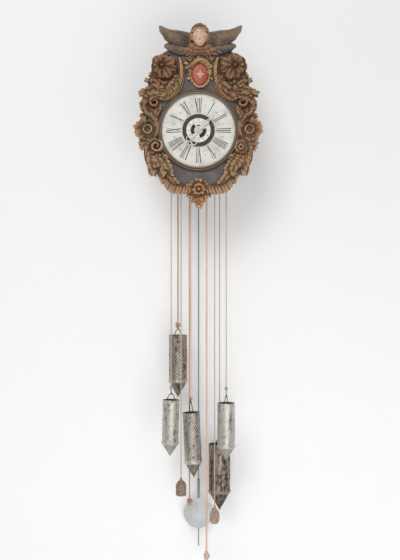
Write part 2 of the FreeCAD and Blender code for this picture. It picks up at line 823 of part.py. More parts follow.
def motion_work():
    """The minute wheel with its pinion, and the hour wheel on its pipe, behind the shield."""
    back = number("case_front")
    stock = number("wheel_stock")
    play = number("side_play")
    module = number("motion_module")
    bore = number("arbor_radius")
    _, gap = mesh_phase((0, 0), (1, 0), cogs("minute_wheel_teeth"))
    wheel = toothed_disc(cogs("minute_wheel_teeth"), module, stock, bore, gap, holes=4)
    leaves = cogs("minute_wheel_leaves")
    phase, hour_gap = mesh_phase((1, 0), (0, 0), cogs("hour_teeth"))
    pinion = toothed_disc(leaves, module, stock, 0, phase)
    plate = number("plate_stock")
    pinion_at = plate + 2 * play + stock
    stem = arbor(plate + 2 * play).fuse(set_back(pinion, pinion_at))
    thin = 0.6 * leaves * module / 2
    spindle = Part.makeCylinder(min(bore, thin), pinion_at + stock)
    shaped("minute_wheel", [
        stem.multiFuse([spindle, set_back(arbor(stock), plate + play)]).removeSplitter(),
        set_back(wheel, plate + play),
    ], x="motion_distance", y="front_plate_y", z="minute_z", turn=FRONT)

    pipe_start = pinion_at - plate
    pipe_end = back - number("hour_hand_y - hand_stock")
    hour_wheel = toothed_disc(cogs("hour_teeth"), module, stock, number("pipe_radius"), hour_gap, holes=0)
    pipe = Part.makeCylinder(number("pipe_radius"), pipe_end - pipe_start)
    pipe = pipe.cut(Part.makeCylinder(number("pipe_bore"), pipe_end - pipe_start))
    shaped("hour_wheel", [set_back(pipe, pipe_start), set_back(hour_wheel, pipe_start)],
           y="case_front", z="minute_z", turn=FRONT)


def strike_wheels():
    """The striking, repeating and alarm rope wheels with their toothed wheels, and two flies."""
    stock = number("wheel_stock")
    bore = number("arbor_radius")
    play = number("side_play")
    plate = number("plate_stock")
    wheels = {
        "quarter": ("strike_plate_y", "back_plate_y", "strike_teeth"),
        "hour": ("strike_plate_y", "back_plate_y", "strike_teeth"),
        "repeat": ("front_plate_y", "alarm_plate_y", "repeat_teeth"),
        "alarm": ("front_plate_y", "alarm_plate_y", "alarm_teeth"),
    }
    for train in TRAINS:
        if train.name not in wheels:
            continue
        front, back, teeth = wheels[train.name]
        span = number(f"{back} - {front} + plate_stock")
        row = number(f"{back} - ({train.row})")
        spool = rope_spool(number(f"{train.name}_rope_radius"), number(train.rope), spool_half(train))
        up = math.pi / 2
        if train.name == "alarm":
            rim = ratchet_disc(cogs(teeth), number("alarm_wheel_radius"), stock, bore)
        else:
            rim = toothed_disc(cogs(teeth), number("strike_module"), stock, bore, up, holes=5)
        pieces = [arbor(span), set_back(rim, plate + 2 * play), set_back(spool, row)]
        label = f"{train.name}_strike_wheel" if train.name != "alarm" else "alarm_wheel"
        shaped(label, pieces, x=f"{train.name}_wheel_x", y=back, z="great_z", turn=FRONT)
    leaves = cogs("fly_leaves")
    span = number("back_plate_y - strike_plate_y + plate_stock")
    for name in ("quarter", "hour"):
        _, gap = mesh_phase((0, 0), (0, 1), leaves)
        pinion = toothed_disc(leaves, number("strike_module"), stock + 2 * play, 0, gap)
        stem = slim_arbor(span, pinion, plate + play, number("strike_module * fly_leaves / 2"))
        blade = Part.makeBox(
            2 * number("fly_half_span"), number("fly_stock"), 2 * number("fly_half_width"),
            Vector(-number("fly_half_span"), -number("fly_stock") / 2,
                   span - plate - play - 2 * number("fly_half_width")),
        )
        shaped(f"{name}_fly", [stem.fuse(blade).removeSplitter()], x=f"{name}_wheel_x", y="back_plate_y",
               z="great_z + fly_rise", turn=FRONT)


# Bells and hammers on the top board
def bells_and_hammers():
    """Two bells on rods, the rails that carry the hammer arbors, and three hammers."""
    rods = []
    for name, side in (("hour", 1), ("quarter", -1)):
        radius = f"{name}_bell_radius"
        bell = turned(f"{name}_bell_body", [
            (radius, "0"),
            (f"{radius} * 0.93", "bell_height * 0.3"),
            (f"{radius} * 0.78", "bell_height * 0.68"),
            (f"{radius} * 0.5", "bell_height * 0.93"),
            ("bell_collar_radius", "bell_height"),
            ("bell_rod_radius + running_clearance", "bell_height"),
            ("bell_rod_radius + running_clearance", "bell_height - bell_wall"),
            ("bell_collar_radius", "bell_height - bell_wall"),
            (f"{radius} * 0.5 - bell_wall * 0.4", "bell_height * 0.93 - bell_wall"),
            (f"{radius} * 0.78 - bell_wall", "bell_height * 0.68 - bell_wall * 0.6"),
            (f"{radius} * 0.93 - bell_wall", "bell_height * 0.3"),
            (f"{radius} - bell_wall", "0"),
        ])
        tie(bell, x=f"({side}) * bell_spread", y="-bell_row", z="bell_rim_z")
        keep(bell, f"{name}_bell")
        crown = "bell_rim_rise + bell_height"
        rod = turned(f"{name}_bell_rod", [
            ("0", "0"),
            ("bell_collar_radius", "0"),
            ("bell_collar_radius", "bell_collar_stock"),
            ("bell_rod_radius", "bell_collar_stock"),
            ("bell_rod_radius", f"{crown} - bell_wall - bell_collar_stock"),
            ("bell_collar_radius", f"{crown} - bell_wall - bell_collar_stock"),
            ("bell_collar_radius", f"{crown} - bell_wall"),
            ("bell_rod_radius", f"{crown} - bell_wall"),
            ("bell_rod_radius", f"{crown}"),
            ("bell_nut_half", f"{crown}"),
            ("bell_nut_half", f"{crown} + bell_nut_stock"),
            ("0", f"{crown} + bell_nut_stock"),
        ])
        rods.append(tie(rod, x=f"({side}) * bell_spread", y="-bell_row", z="-frame_drop"))
    stands = doc.addObject("Part::Compound", "bell_rods")
    stands.Links = rods
    keep(stands, "bell_stands")

    hammers = {
        "hour_hammer": "bell_spread + hour_bell_radius + seat_gap",
        "quarter_hammer": "-bell_spread - quarter_bell_radius - seat_gap - hammer_head_length",
        "alarm_hammer": "-bell_spread + quarter_bell_radius + seat_gap",
    }
    leans = {"hour_hammer": 1, "quarter_hammer": -1, "alarm_hammer": 1}
    pivots = {
        name: f"{start} + hammer_head_length / 2 + ({leans[name]}) * hammer_lean"
        for name, start in hammers.items()
    }
    rails = []
    for index, back in enumerate(("rail_back_y", "rail_back_y - rail_gap - rail_stock")):
        blank = box(f"rail_blank_{index}", "2 * rail_half_length", "rail_stock", "rail_height",
                    "-rail_half_length", back, "-frame_drop")
        bores = [
            round_bar(f"{name}_rail_bore_{index}", "hammer_arbor_radius + running_clearance", "rail_stock",
                      pivot, f"{back} + rail_stock", "hammer_z", FRONT)
            for name, pivot in pivots.items()
        ]
        rails.append(drilled(f"rail_{index}", blank, bores))
    both = doc.addObject("Part::Compound", "rails")
    both.Links = rails
    keep(both, "hammer_rails")

    wire = number("hammer_wire")
    reach = number("hammer_reach")
    span = number("rail_gap + 2 * rail_stock")
    middle = span / 2
    for name, start in hammers.items():
        lean = leans[name] * number("hammer_lean")
        stem = Part.makeCylinder(number("hammer_arbor_radius"), span)
        top = Vector(-lean, reach, middle)
        arm = bar_between(Vector(0, 0, middle), top, wire)
        half = number("hammer_head_length") / 2
        head = bar_between(top - Vector(half, 0, 0), top + Vector(half, 0, 0), number("hammer_head_radius"))
        shaped(name, [stem.multiFuse([arm, head]).removeSplitter()], x=pivots[name],
               y="rail_back_y + rail_stock", z="hammer_z", turn=FRONT)


# Pendulum
def pendulum():
    """A wire rod with an eye and a sleeve, and the lens-shaped bob it passes through."""
    rod_radius = number("rod_radius")
    eye = number("eye_radius")
    long = number("pendulum_length + rod_tail")
    half_eye = 0.8 * rod_radius
    stem = bar_between(Vector(0, -0.8 * eye, 0), Vector(0, -long, 0), rod_radius)
    pin_radius = number("cock_pin_radius + running_clearance")
    pin_hole = Part.makeCylinder(pin_radius, 2 * half_eye, Vector(0, 0, -half_eye))
    rod = Part.makeCylinder(eye, 2 * half_eye, Vector(0, 0, -half_eye)).fuse(stem).cut(pin_hole)
    sleeve_foot = Vector(0, -number("pendulum_length - sleeve_rise"), 0)
    sleeve_head = sleeve_foot + Vector(0, number("sleeve_length"), 0)
    sleeve = bar_between(sleeve_foot, sleeve_head, number("sleeve_radius"))
    sleeve = sleeve.cut(bar_between(sleeve_foot, sleeve_head, rod_radius))
    shaped("pendulum_rod", [rod, sleeve], y="-pendulum_row", z="anchor_z", turn=FRONT)

    radius, edge, half = number("bob_radius"), number("bob_rim_half_stock"), number("bob_half_stock")
    sphere = (radius ** 2 + (half - edge) ** 2) / (2 * (half - edge))
    turn = math.asin(radius / sphere) / 2
    crown = Vector(0, 0, half)
    shoulder = Vector(sphere * math.sin(turn), 0, half - sphere * (1 - math.cos(turn)))
    profile = Part.Wire([
        Part.makeLine(-crown, crown),
        Part.Arc(crown, shoulder, Vector(radius, 0, edge)).toShape(),
        Part.makeLine(Vector(radius, 0, edge), Vector(radius, 0, -edge)),
        Part.Arc(Vector(radius, 0, -edge), Vector(shoulder.x, 0, -shoulder.z), -crown).toShape(),
    ])
    lens = Part.Face(profile).revolve(Vector(0, 0, 0), Vector(0, 0, 1), 360)
    lens = lens.cut(bar_between(Vector(0, 1.1 * radius, 0), Vector(0, -1.1 * radius, 0), rod_radius))
    shaped("pendulum_bob", [lens], y="-pendulum_row", z="bob_z", turn=FRONT)


# Dial, bezel and hands
def dial():
    """The dial disc and the two-step moulded ring that holds it on the shield."""
    keep(tie(disc("dial_disc", "dial_radius", "pipe_radius + seat_gap", "dial_stock"),
             y="shield_face", z="minute_z"), "dial_panel")
    ring = turned("bezel_ring", [
        ("dial_radius + seat_gap", "0"),
        ("bezel_radius", "0"),
        ("bezel_radius", "-bezel_depth * 0.55"),
        ("bezel_radius - bezel_step * 0.5", "-bezel_depth * 0.8"),
        ("bezel_radius - bezel_step", "-bezel_depth * 0.72"),
        ("bezel_radius - bezel_step * 1.5", "-bezel_depth"),
        ("dial_radius + bezel_lip * 0.5", "-bezel_depth"),
        ("dial_radius - bezel_lip", "-dial_stock - bezel_lip"),
        ("dial_radius - bezel_lip", "-dial_stock - seat_gap"),
        ("dial_radius + seat_gap", "-dial_stock - seat_gap"),
    ], upright=False)
    keep(tie(ring, y="shield_face", z="minute_z"), "dial_bezel")


def pierced_hand(long, hub, bore, head_half, stock):
    """A hand: a ring hub, a tapering arm and a head of pierced lobes with a point, towards twelve."""

    def plate(corners):
        points = [Vector(x, y, 0) for x, y in corners]
        return Part.Face(Part.makePolygon(points + points[:1])).extrude(Vector(0, 0, stock))

    def lobe(x, y, radius):
        return Part.makeCylinder(radius, stock, Vector(x, y, 0))

    head_low, head_mid, head_high = 0.5 * long, 0.62 * long, 0.76 * long
    arm = plate([(-0.34 * hub, 0), (0.34 * hub, 0), (0.2 * hub, head_mid), (-0.2 * hub, head_mid)])
    point = plate([(-0.3 * head_half, head_high), (0.3 * head_half, head_high), (0, long)])
    side, top = 0.42 * head_half, 0.4 * head_half
    rounds = [lobe(sign * (head_half - side), head_mid, side) for sign in (-1, 1)]
    rounds += [lobe(0, head_high, top), lobe(0, head_low, 0.3 * head_half)]
    bridge = plate([(-0.6 * head_half, head_mid - 0.12 * long), (0.6 * head_half, head_mid - 0.12 * long),
                    (0.3 * head_half, head_high), (-0.3 * head_half, head_high)])
    blank = lobe(0, 0, hub).multiFuse([arm, point, bridge] + rounds)
    openings = [lobe(sign * (head_half - side), head_mid, 0.55 * side) for sign in (-1, 1)]
    openings += [lobe(0, head_high, 0.55 * top), lobe(0, head_mid, 0.14 * head_half), lobe(0, 0, bore)]
    return blank.cut(Part.makeCompound(openings)).removeSplitter()


def hands():
    """The pierced hour and minute hands and the pierced alarm-setting disc."""
    stock = number("hand_stock")
    pipe = number("pipe_radius")
    for name, bore, head_share, hub in (
        ("hour", pipe, 0.27, 1.8 * pipe),
        ("minute", number("arbor_radius"), 0.13, 2.2 * number("arbor_radius")),
    ):
        long = number(f"{name}_hand_length")
        hand = pierced_hand(long, hub, bore, head_share * long, stock)
        pointing = FRONT.multiply(Rotation(Vector(0, 0, 1), -number(f"{name}_rest_angle")))
        shaped(f"{name}_hand", [hand], y=f"{name}_hand_y", z="minute_z", turn=pointing)
    radius, stock = number("alarm_disc_radius"), number("alarm_disc_stock")
    plate = Part.makeCylinder(radius, stock).cut(Part.makeCylinder(pipe + number("running_clearance"), stock))
    for index in range(3):
        start = 20 + 120 * index
        window = Part.makeCylinder(0.48 * radius, stock, Vector(0, 0, 0), Vector(0, 0, 1), 62)
        window = window.cut(Part.makeCylinder(0.25 * radius, stock))
        window.rotate(Vector(0, 0, 0), Vector(0, 0, 1), start)
        plate = plate.cut(window)
    shaped("alarm_disc", [plate], y="disc_y", z="minute_z", turn=FRONT)


# Carved shield: places are clock angles and distances beyond the bezel's rim
def rim(angle, beyond):
    """A point on the shield's face by its clock angle and how far it lies beyond the bezel."""
    reach = number("drawn_bezel_radius") + beyond
    turn = math.radians(angle)
    return Vector(reach * math.sin(turn), 0, reach * math.cos(turn))


SHIELD_EDGE = [(0, 131), (6, 125), (12, 108), (21, 106), (31, 98), (39, 82), (47, 66), (57, 50), (68, 38),
               (84, 28), (102, 28), (113, 36), (128, 44), (138, 46), (149, 44), (161, 36)]
SHIELD_FOOT = 30


def spline_face(points):
    """A face inside a closed smooth line through points."""
    line = Part.BSplineCurve()
    line.interpolate(points, PeriodicFlag=True)
    return Part.Face(Part.Wire([line.toShape()]))


def shield_board():
    """The flat board that the dial and the carving are fixed to, with a hole for the hand arbors."""
    right = [rim(angle, beyond) for angle, beyond in SHIELD_EDGE]
    left = [Vector(-point.x, 0, point.z) for point in reversed(right[1:])]
    outline = spline_face(right + [rim(180, SHIELD_FOOT)] + left)
    board = doc.addObject("Part::Feature", "shield_outline")
    outline.scale(number("bezel_radius / drawn_bezel_radius"))
    board.Shape = outline
    tie(board, y="shield_back", z="minute_z")
    pad = doc.addObject("Part::Extrusion", "shield_pad")
    pad.Base = board
    pad.DirMode = "Custom"
    pad.Dir = Vector(0, -1, 0)
    pad.Solid = True
    pad.setExpression("LengthFwd", formula("shield_stock"))
    hole = round_bar("shield_hole", "pipe_radius + 2 * seat_gap", "shield_stock",
                     "0", "shield_back", "minute_z", FRONT)
    keep(drilled("shield", pad, [hole]), "shield_board")


STEEPEST = 1.3


class Swell:
    """How a carved band's width changes along it: (share of length, share of width) pairs."""

    LEAF = ((0, 0.45), (0.3, 1), (0.62, 0.72), (0.86, 0.34), (1, 0.06))
    BAND = ((0, 0.55), (0.2, 1), (0.7, 0.95), (1, 0.5))
    PETAL = ((0, 0.4), (0.45, 0.85), (0.75, 1), (0.93, 0.72), (1, 0.3))
    RIB = ((0, 0.34), (0.7, 1), (0.92, 0.95), (1, 0.55))
    SCROLL = ((0, 0.3), (0.25, 0.75), (0.6, 1), (0.85, 0.8), (1, 0.4))


def between(pairs, share):
    """The value at a share along a list of pairs."""
    for (low, first), (high, last) in zip(pairs, pairs[1:]):
        if share <= high:
            return first + (last - first) * (share - low) / (high - low)
    return pairs[-1][1]


def carved_band(points, half_width, swell, height, ground=0.0, steps=11):
    """A carved band with a flat back and a rounded crown, along a smooth line on the shield's face."""
    line = Part.BSplineCurve()
    line.interpolate(points)
    first, last = line.FirstParameter, line.LastParameter
    sections = []
    for step in range(steps):
        share = step / (steps - 1)
        place = first + (last - first) * share
        along = line.tangent(place)[0]
        spread = between(swell, share)
        width = half_width * spread
        crown = min(height * (0.3 + 0.7 * spread), STEEPEST * width)
        across = Vector(along.z, 0, -along.x) * width
        foot = line.value(place) + Vector(0, -ground, 0)
        near, far = foot - across, foot + across
        arc = Part.Arc(near, foot + Vector(0, -crown, 0), far).toShape()
        sections.append(Part.Wire([arc, Part.makeLine(far, near)]))
    return Part.makeLoft(sections, True, True)


def acanthus(places, half_width, height):
    """A leaf on the left: one solid with lobed edges that rise to a ridge along its middle."""
    line = Part.BSplineCurve()
    line.interpolate([rim(angle, beyond) for angle, beyond in places])
    first, last = line.FirstParameter, line.LastParameter
    lobes = max(2, round(line.length() / (1.7 * half_width)))
    count = 5 * lobes
    sweep = 0.28 * line.length() / lobes

    def edge_point(step, side, inset, rise):
        share = step / count
        place = first + (last - first) * share
        along = line.tangent(place)[0]
        across = Vector(along.z, 0, -along.x) * side
        lobe = abs(math.sin(math.pi * lobes * share)) * (1 - share) ** 0.5
        out = half_width * (between(Swell.LEAF, share) * (0.55 + 0.6 * lobe)) * inset
        return line.value(place) + across * out + along * (sweep * lobe * inset) + Vector(0, -rise, 0)

    outlines = []
    for inset, rise in ((1, 0), (0.93, 0.4 * height), (0.55, 0.85 * height), (0.12, height)):
        points = [edge_point(step, -1, inset, rise) for step in range(count + 1)]
        points += [edge_point(step, 1, inset, rise) for step in range(count, -1, -1)]
        outlines.append(Part.makePolygon(points + points[:1]))
    return [Part.makeLoft(outlines, True, True)]


def carved_dome(centre, radius, height, ground=0.0):
    """A round boss with a flat back: a short wall under a cap cut from a sphere."""
    cap = min(0.8 * radius, height)
    wall = height - cap
    sphere = (radius ** 2 + cap ** 2) / (2 * cap)
    foot = centre + Vector(0, -ground, 0)
    middle = foot + Vector(0, sphere - height, 0)
    low = math.degrees(math.asin((sphere - cap) / sphere))
    boss = Part.makeSphere(sphere, middle, Vector(0, -1, 0), low, 90, 360)
    if wall > 0:
        boss = boss.fuse(Part.makeCylinder(radius, wall, foot, Vector(0, -1, 0)))
    return boss


def carved_fan(centre, start, end, count, inner, outer, height, flare=-0.12, gap=0.5):
    """Ribs that spread from a centre between two clock angles; flare lengthens or shortens the outer ones."""
    ribs = []
    step = (end - start) / count
    for index in range(count):
        turn = math.radians(start + (index + 0.5) * step)
        way = Vector(math.sin(turn), 0, math.cos(turn))
        reach = outer * (1 + flare * abs(2 * (index + 0.5) / count - 1))
        line = [centre + way * inner, centre + way * (inner + reach) / 2, centre + way * reach]
        half = math.tan(math.radians(abs(step)) / 2) * 0.78 * reach - gap / 2
        ribs.append(carved_band(line, half, Swell.RIB, height, steps=7))
    return ribs


def carved_volute(centre, start, turns, outer, inner, half_width, height):
    """A band that winds in on itself, clockwise for positive turns."""
    points = []
    count = 10
    for index in range(count + 1):
        share = index / count
        turn = math.radians(start + 360 * turns * share)
        reach = outer + (inner - outer) * share
        points.append(centre + Vector(math.sin(turn), 0, math.cos(turn)) * reach)
    return carved_band(points, half_width, ((0, 0.7), (0.3, 1), (0.8, 0.9), (1, 0.6)), height, steps=17)


def flower(centre, petals, boss, reach, height, start=0.0):
    """A boss with petals spread round it."""
    return [carved_dome(centre, boss, height)] + carved_fan(
        centre, start, start + 360, petals, boss + 0.8, reach, 0.8 * height)


def carving(label, solids):
    """A carving seated on the shield's face, grown with the bezel it was drawn round."""
    growth = number("bezel_radius / drawn_bezel_radius")
    for solid in solids:
        solid.scale(growth)
    shaped(label, solids, y="shield_face", z="minute_z")


def mirrored(solids):
    """The solids and their mirror images across the clock's middle."""
    return solids + [solid.mirror(Vector(0, 0, 0), Vector(1, 0, 0)) for solid in solids]


class Carve(NamedTuple):
    """A carving on the left: places by clock angle and distance beyond the bezel, and its section."""

    places: list
    half_width: float
    height: float
    swell: tuple = ()

    def solids(self):
        """A plain band where a swell is given, or else a lobed leaf."""
        if not self.swell:
            return acanthus(self.places, self.half_width, self.height)
        line = [rim(angle, beyond) for angle, beyond in self.places]
        return [carved_band(line, self.half_width, self.swell, self.height)]


UPPER_FOLIAGE = [
    # scroll that sweeps from beside the cartouche down to the bezel, with a raised edge
    Carve([(-15, 79), (-15.5, 55), (-20, 33), (-28, 18), (-38, 13), (-47, 15)], 6, 8, Swell.SCROLL),
    Carve([(-15.9, 74.5), (-17.2, 55), (-22, 35), (-29.5, 21), (-39, 16.5), (-46, 18)], 2.4, 11, Swell.BAND),
    # leaf spray below the flower
    Carve([(-27, 37), (-34, 46), (-38.5, 66)], 10, 9),
    Carve([(-29, 29), (-40, 44), (-44, 70), (-47, 81)], 13, 10),
    Carve([(-34, 24), (-45, 39), (-51, 62), (-57, 73)], 14, 11),
    Carve([(-42, 21), (-50, 33), (-55, 51), (-59, 64)], 12, 9),
    Carve([(-26, 37), (-35, 37), (-47, 36)], 10, 13),
    Carve([(-37, 62), (-40, 74), (-41, 86)], 6, 8),
    # stem at the outer edge, with leaves on both sides
    Carve([(-58, 57), (-63.5, 47), (-68, 34), (-69.5, 21), (-66, 12)], 7.5, 10, Swell.BAND),
    Carve([(-58, 62), (-64, 57), (-70, 50)], 9, 7),
    Carve([(-48, 20), (-55.5, 18), (-63, 13)], 8, 7),
    Carve([(-58, 38), (-65, 33), (-71, 29)], 9, 8),
    # horseshoe round the shell's eye
    Carve([(-72.5, 27), (-74, 17), (-82, 10), (-91.5, 10), (-97, 17)], 5.5, 9, Swell.BAND),
]
LOWER_FOLIAGE = [
    # small leaves beside the lower volute
    Carve([(-104.5, 22), (-104, 35), (-103, 47)], 8, 7),
    Carve([(-111, 30), (-109.5, 41), (-107.5, 52)], 8, 7),
    # long leaves that run down to the gadroons
    Carve([(-111, 35), (-118, 43), (-127, 47), (-134, 51)], 15, 10),
    Carve([(-116, 30), (-126, 36), (-135, 39)], 13, 13),
    Carve([(-116, 21), (-126.5, 25), (-135, 27), (-140.5, 29)], 12, 10),
    Carve([(-116, 13), (-126.5, 15.5), (-136.5, 16), (-144, 18)], 9, 8),
    Carve([(-128, 51), (-134.5, 54), (-139, 51)], 9, 8),
]
GADROONS = [
    Carve([(-143.5, 47), (-149.5, 60)], 5, 8, Swell.PETAL),
    Carve([(-145, 39), (-154, 62)], 5.6, 9, Swell.PETAL),
    Carve([(-148, 33), (-159, 62)], 6, 10, Swell.PETAL),
    Carve([(-152, 30), (-163, 60)], 6, 10, Swell.PETAL),
    Carve([(-156, 29), (-166, 56)], 5.6, 9, Swell.PETAL),
    Carve([(-160.5, 32), (-168, 50)], 5, 8, Swell.PETAL),
]


def carved(carvings):
    """Every solid of a list of carvings."""
    return [solid for carve in carvings for solid in carve.solids()]


def garland():
    """The carving on both sides of the shield: flowers, foliage with volutes, shells and gadroons."""
    shell_eye = rim(-87.5, 21)
    kinds = {
        "flower_carvings": flower(rim(-26, 80), 8, 9, 30, 15, start=12),
        "upper_foliage": carved(UPPER_FOLIAGE)
        + [carved_volute(rim(-57, 25), -60, -1.2, 12, 3, 3.2, 9)],
        "lower_foliage": carved(LOWER_FOLIAGE)
        + [carved_volute(rim(-109.5, 19), 20, 1.2, 12, 3, 3.2, 9)],
        "shell_carvings": [carved_dome(shell_eye, 6.5, 7)]
        + carved_fan(shell_eye, -141, -27, 7, 7.3, 34, 10),
        "gadroon_carvings": carved(GADROONS),
    }
    for label, solids in kinds.items():
        carving(label, mirrored(solids))


def pendant():
    """The rosette and hanging leaves at the shield's foot."""
    centre = rim(180, 40)
    boss = 8
    solids = [carved_dome(centre, boss, 13)]
    for angle, reach, half in ((180, 47, 8.5), (152, 36, 6.5), (208, 36, 6.5), (116, 28, 5.8), (244, 28, 5.8),
                               (0, 24, 6), (58, 22, 5), (302, 22, 5)):
        turn = math.radians(angle)
        way = Vector(math.sin(turn), 0, math.cos(turn))
        start = boss + number("seat_gap")
        line = [centre + way * start, centre + way * (start + reach) / 2, centre + way * reach]
        solids.append(carved_band(line, half, Swell.LEAF, 9, steps=7))
    carving("pendant_leaf", solids)


def cartouche():
    """The red oval boss in its toothed leafy frame."""
    centre = rim(0, 39)
    wide, high = 19.5, 22.5
    border_wide, border_high = 9.5, 10.5
    clear = number("seat_gap")

    def oval(scale_x, scale_z, rise, lobes=0, depth=0.0):
        points = []
        count = max(24, 6 * lobes)
        for index in range(count):
            angle = 2 * math.pi * index / count
            swell = 1 + depth * abs(math.cos(lobes * angle / 2))
            across, up = scale_x * math.sin(angle), scale_z * math.cos(angle)
            points.append(centre + Vector(swell * across, -rise, swell * up))
        line = Part.BSplineCurve()
        line.interpolate(points, PeriodicFlag=True)
        return Part.Wire([line.toShape()])

    boss = Part.makeLoft([
        oval(wide, high, 0), oval(0.97 * wide, 0.97 * high, 4),
        oval(0.8 * wide, 0.8 * high, 7.5), oval(0.35 * wide, 0.35 * high, 9.4),
    ], True, True)
    carving("cartouche_boss", [boss])
    outer_wide, outer_high = wide + border_wide, high + border_high
    ring = Part.makeLoft([
        oval(outer_wide, outer_high, 0, 14, 0.14), oval(outer_wide, outer_high, 3.5, 14, 0.14),
        oval(0.9 * outer_wide, 0.9 * outer_high, 7.5, 14, 0.1),
    ], True, True)
    hole_wide, hole_high = wide + clear, high + clear
    opening = Part.makeLoft([oval(hole_wide, hole_high, -1), oval(hole_wide, hole_high, 12)], True, True)
    carving("cartouche_frame", [ring.cut(opening)])


HEAD_LEVELS = [(-27, 6, 7), (-22, 11, 12), (-14, 15, 15.5), (-6, 17, 17), (3, 18.4, 18), (12, 19.6, 18.5),
               (20, 17, 16.5), (25.5, 10.5, 11), (28, 4, 5)]
HEAD_STAND = 15


def winged_head():
    """A child's head with swept hair between two spread wings, over a ruff of feathers."""
    head_at = rim(0, 124)
    rings = []
    for up, half, front in HEAD_LEVELS:
        centre = head_at + Vector(0, -HEAD_STAND, up)
        back = min(0.8 * HEAD_STAND, half)
        left, right = centre + Vector(-half, 0, 0), centre + Vector(half, 0, 0)
        rings.append(Part.Wire([
            Part.Arc(left, centre + Vector(0, -front, 0), right).toShape(),
            Part.Arc(right, centre + Vector(0, back, 0), left).toShape(),
        ]))
    head = Part.makeLoft(rings, True, False)
    neck = Part.makeCylinder(9, HEAD_STAND, head_at + Vector(0, 0, -4), Vector(0, -1, 0))
    carving("cherub_head", [head.fuse(neck)])

    backing = 5
    plate_edge = [(-5.5, 134), (-10, 138), (-14.3, 147), (-17.4, 157), (-20, 164), (-21.2, 160), (-20.8, 150),
                  (-19, 136), (-18.8, 128), (-21.5, 122), (-22, 112), (-16, 106), (-10.3, 108), (-5.7, 114)]
    plate = spline_face([rim(angle, beyond) for angle, beyond in plate_edge]).extrude(Vector(0, -backing, 0))
    feathers = [
        ([(-6.3, 130), (-12.8, 139), (-19.8, 158)], 5.6),
        ([(-6.4, 124), (-12.4, 130), (-18.6, 142)], 4.8),
        ([(-6.6, 119), (-13, 119.5), (-19.8, 123)], 4.6),
        ([(-8, 115), (-13.5, 111), (-20.8, 115)], 4.2),
    ]
    solids = [plate]
    for places, half in feathers:
        line = [rim(angle, beyond) for angle, beyond in places]
        solids.append(carved_band(line, half, ((0, 0.7), (0.4, 1), (0.8, 0.8), (1, 0.3)), 7, ground=backing))
    carving("wings", mirrored(solids))

    throat = rim(0, 117)
    ruff = carved_fan(throat, 116, 244, 11, 24, 37, 8, flare=0.35)
    ruff += carved_fan(throat, 122, 238, 10, 22.5, 31, 11, flare=0.2)
    carving("feather_ruff", ruff)


def fault(thing):
    """What is wrong with a sub-part, or nothing."""
    shape = thing.Shape
    if shape.isNull() or not shape.isValid() or not shape.Solids:
        return f"{thing.Label}: no valid solid"
    if any(solid.Volume <= 0 for solid in shape.Solids):
        return f"{thing.Label}: inside out"
    return ""


def main():
    """Build every sub-part, test it and write it."""
    movement_case()
    movement_plates()
    pendulum_cock()
    bells_and_hammers()
    going_train()
    motion_work()
    strike_wheels()
    pendulum()
    for train in TRAINS:
        rope_loop(train)
        canister(train)
        tail(train, *TAILS[train.name])
    shield_board()
    dial()
    hands()
    garland()
    pendant()
    cartouche()
    winged_head()
    doc.recompute()
    for thing in doc.Objects:
        assert not {"Invalid", "Error"} & set(thing.State), f"{thing.Label}: {thing.State}"
    faults = [words for words in map(fault, PARTS) if words]
    assert not faults, faults
    os.makedirs("parts", exist_ok=True)
    for thing in PARTS:
        path = f"parts/{thing.Label}.step"
        thing.Shape.exportStep(path)
        written = Part.read(path).Volume
        assert abs(written - thing.Shape.Volume) < 0.001 * thing.Shape.Volume, f"{thing.Label}: export"
    print(len(PARTS), "sub-parts written")


main()
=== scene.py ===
import abc
import itertools
import logging
import math
import random
from dataclasses import dataclass
from enum import Enum
from typing import Any, Callable, ClassVar, Iterable, Iterator, Sequence

import bpy
import numpy as np
from mathutils import Matrix, Vector, noise


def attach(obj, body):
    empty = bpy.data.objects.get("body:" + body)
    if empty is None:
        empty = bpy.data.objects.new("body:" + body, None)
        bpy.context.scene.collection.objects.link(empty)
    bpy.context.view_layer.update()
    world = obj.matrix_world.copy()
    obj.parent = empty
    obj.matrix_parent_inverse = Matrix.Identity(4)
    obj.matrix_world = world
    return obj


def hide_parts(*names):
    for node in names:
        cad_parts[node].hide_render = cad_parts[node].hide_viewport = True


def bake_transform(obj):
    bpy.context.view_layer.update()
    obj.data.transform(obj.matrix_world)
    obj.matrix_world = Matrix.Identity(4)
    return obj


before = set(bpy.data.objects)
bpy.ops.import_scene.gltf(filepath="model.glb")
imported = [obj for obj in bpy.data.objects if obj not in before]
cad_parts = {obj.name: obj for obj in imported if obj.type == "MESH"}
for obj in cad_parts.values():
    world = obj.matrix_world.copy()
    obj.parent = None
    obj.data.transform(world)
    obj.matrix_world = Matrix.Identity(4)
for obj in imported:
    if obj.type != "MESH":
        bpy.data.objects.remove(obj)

LOG = logging.getLogger("wall_clock")
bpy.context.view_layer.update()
MM = 0.001
# Places in millimetres, with y growing towards the wall and z upwards.
SHIELD_FACE = -176.0
DIAL_Z = -128.0
DIAL_FACE = -180.0
DISC_FRONT = -183.0
WHEEL_Z = -184.0
# The carver's drawing: millimetres in one of its steps, and the place of its top left corner.
DRAWING_STEP = 0.2985
DRAWING_LEFT = -160.2
DRAWING_TOP = 141.3
# Points in which a carving's line is worked out, and the depths to which the carvings' edges go in turn.
FINE = 64
BACK_STEP = 0.02
BACK_STEPS = 40
# Cells over which a carving's surroundings are averaged, and the heights above them that count in full.
NEAR_CELLS, NEAR_HEIGHT = 2, 2.2
WIDE_CELLS, WIDE_HEIGHT = 5, 4.5
FULL_RISE = 18.0

Point = tuple[float, float]
Triple = tuple[float, float, float]
Colour = Triple
Line = Sequence[Sequence[float]]
Rows = tuple[tuple[Any, ...], ...]
Piece = bpy.types.Object
NodeSocket = bpy.types.NodeSocket


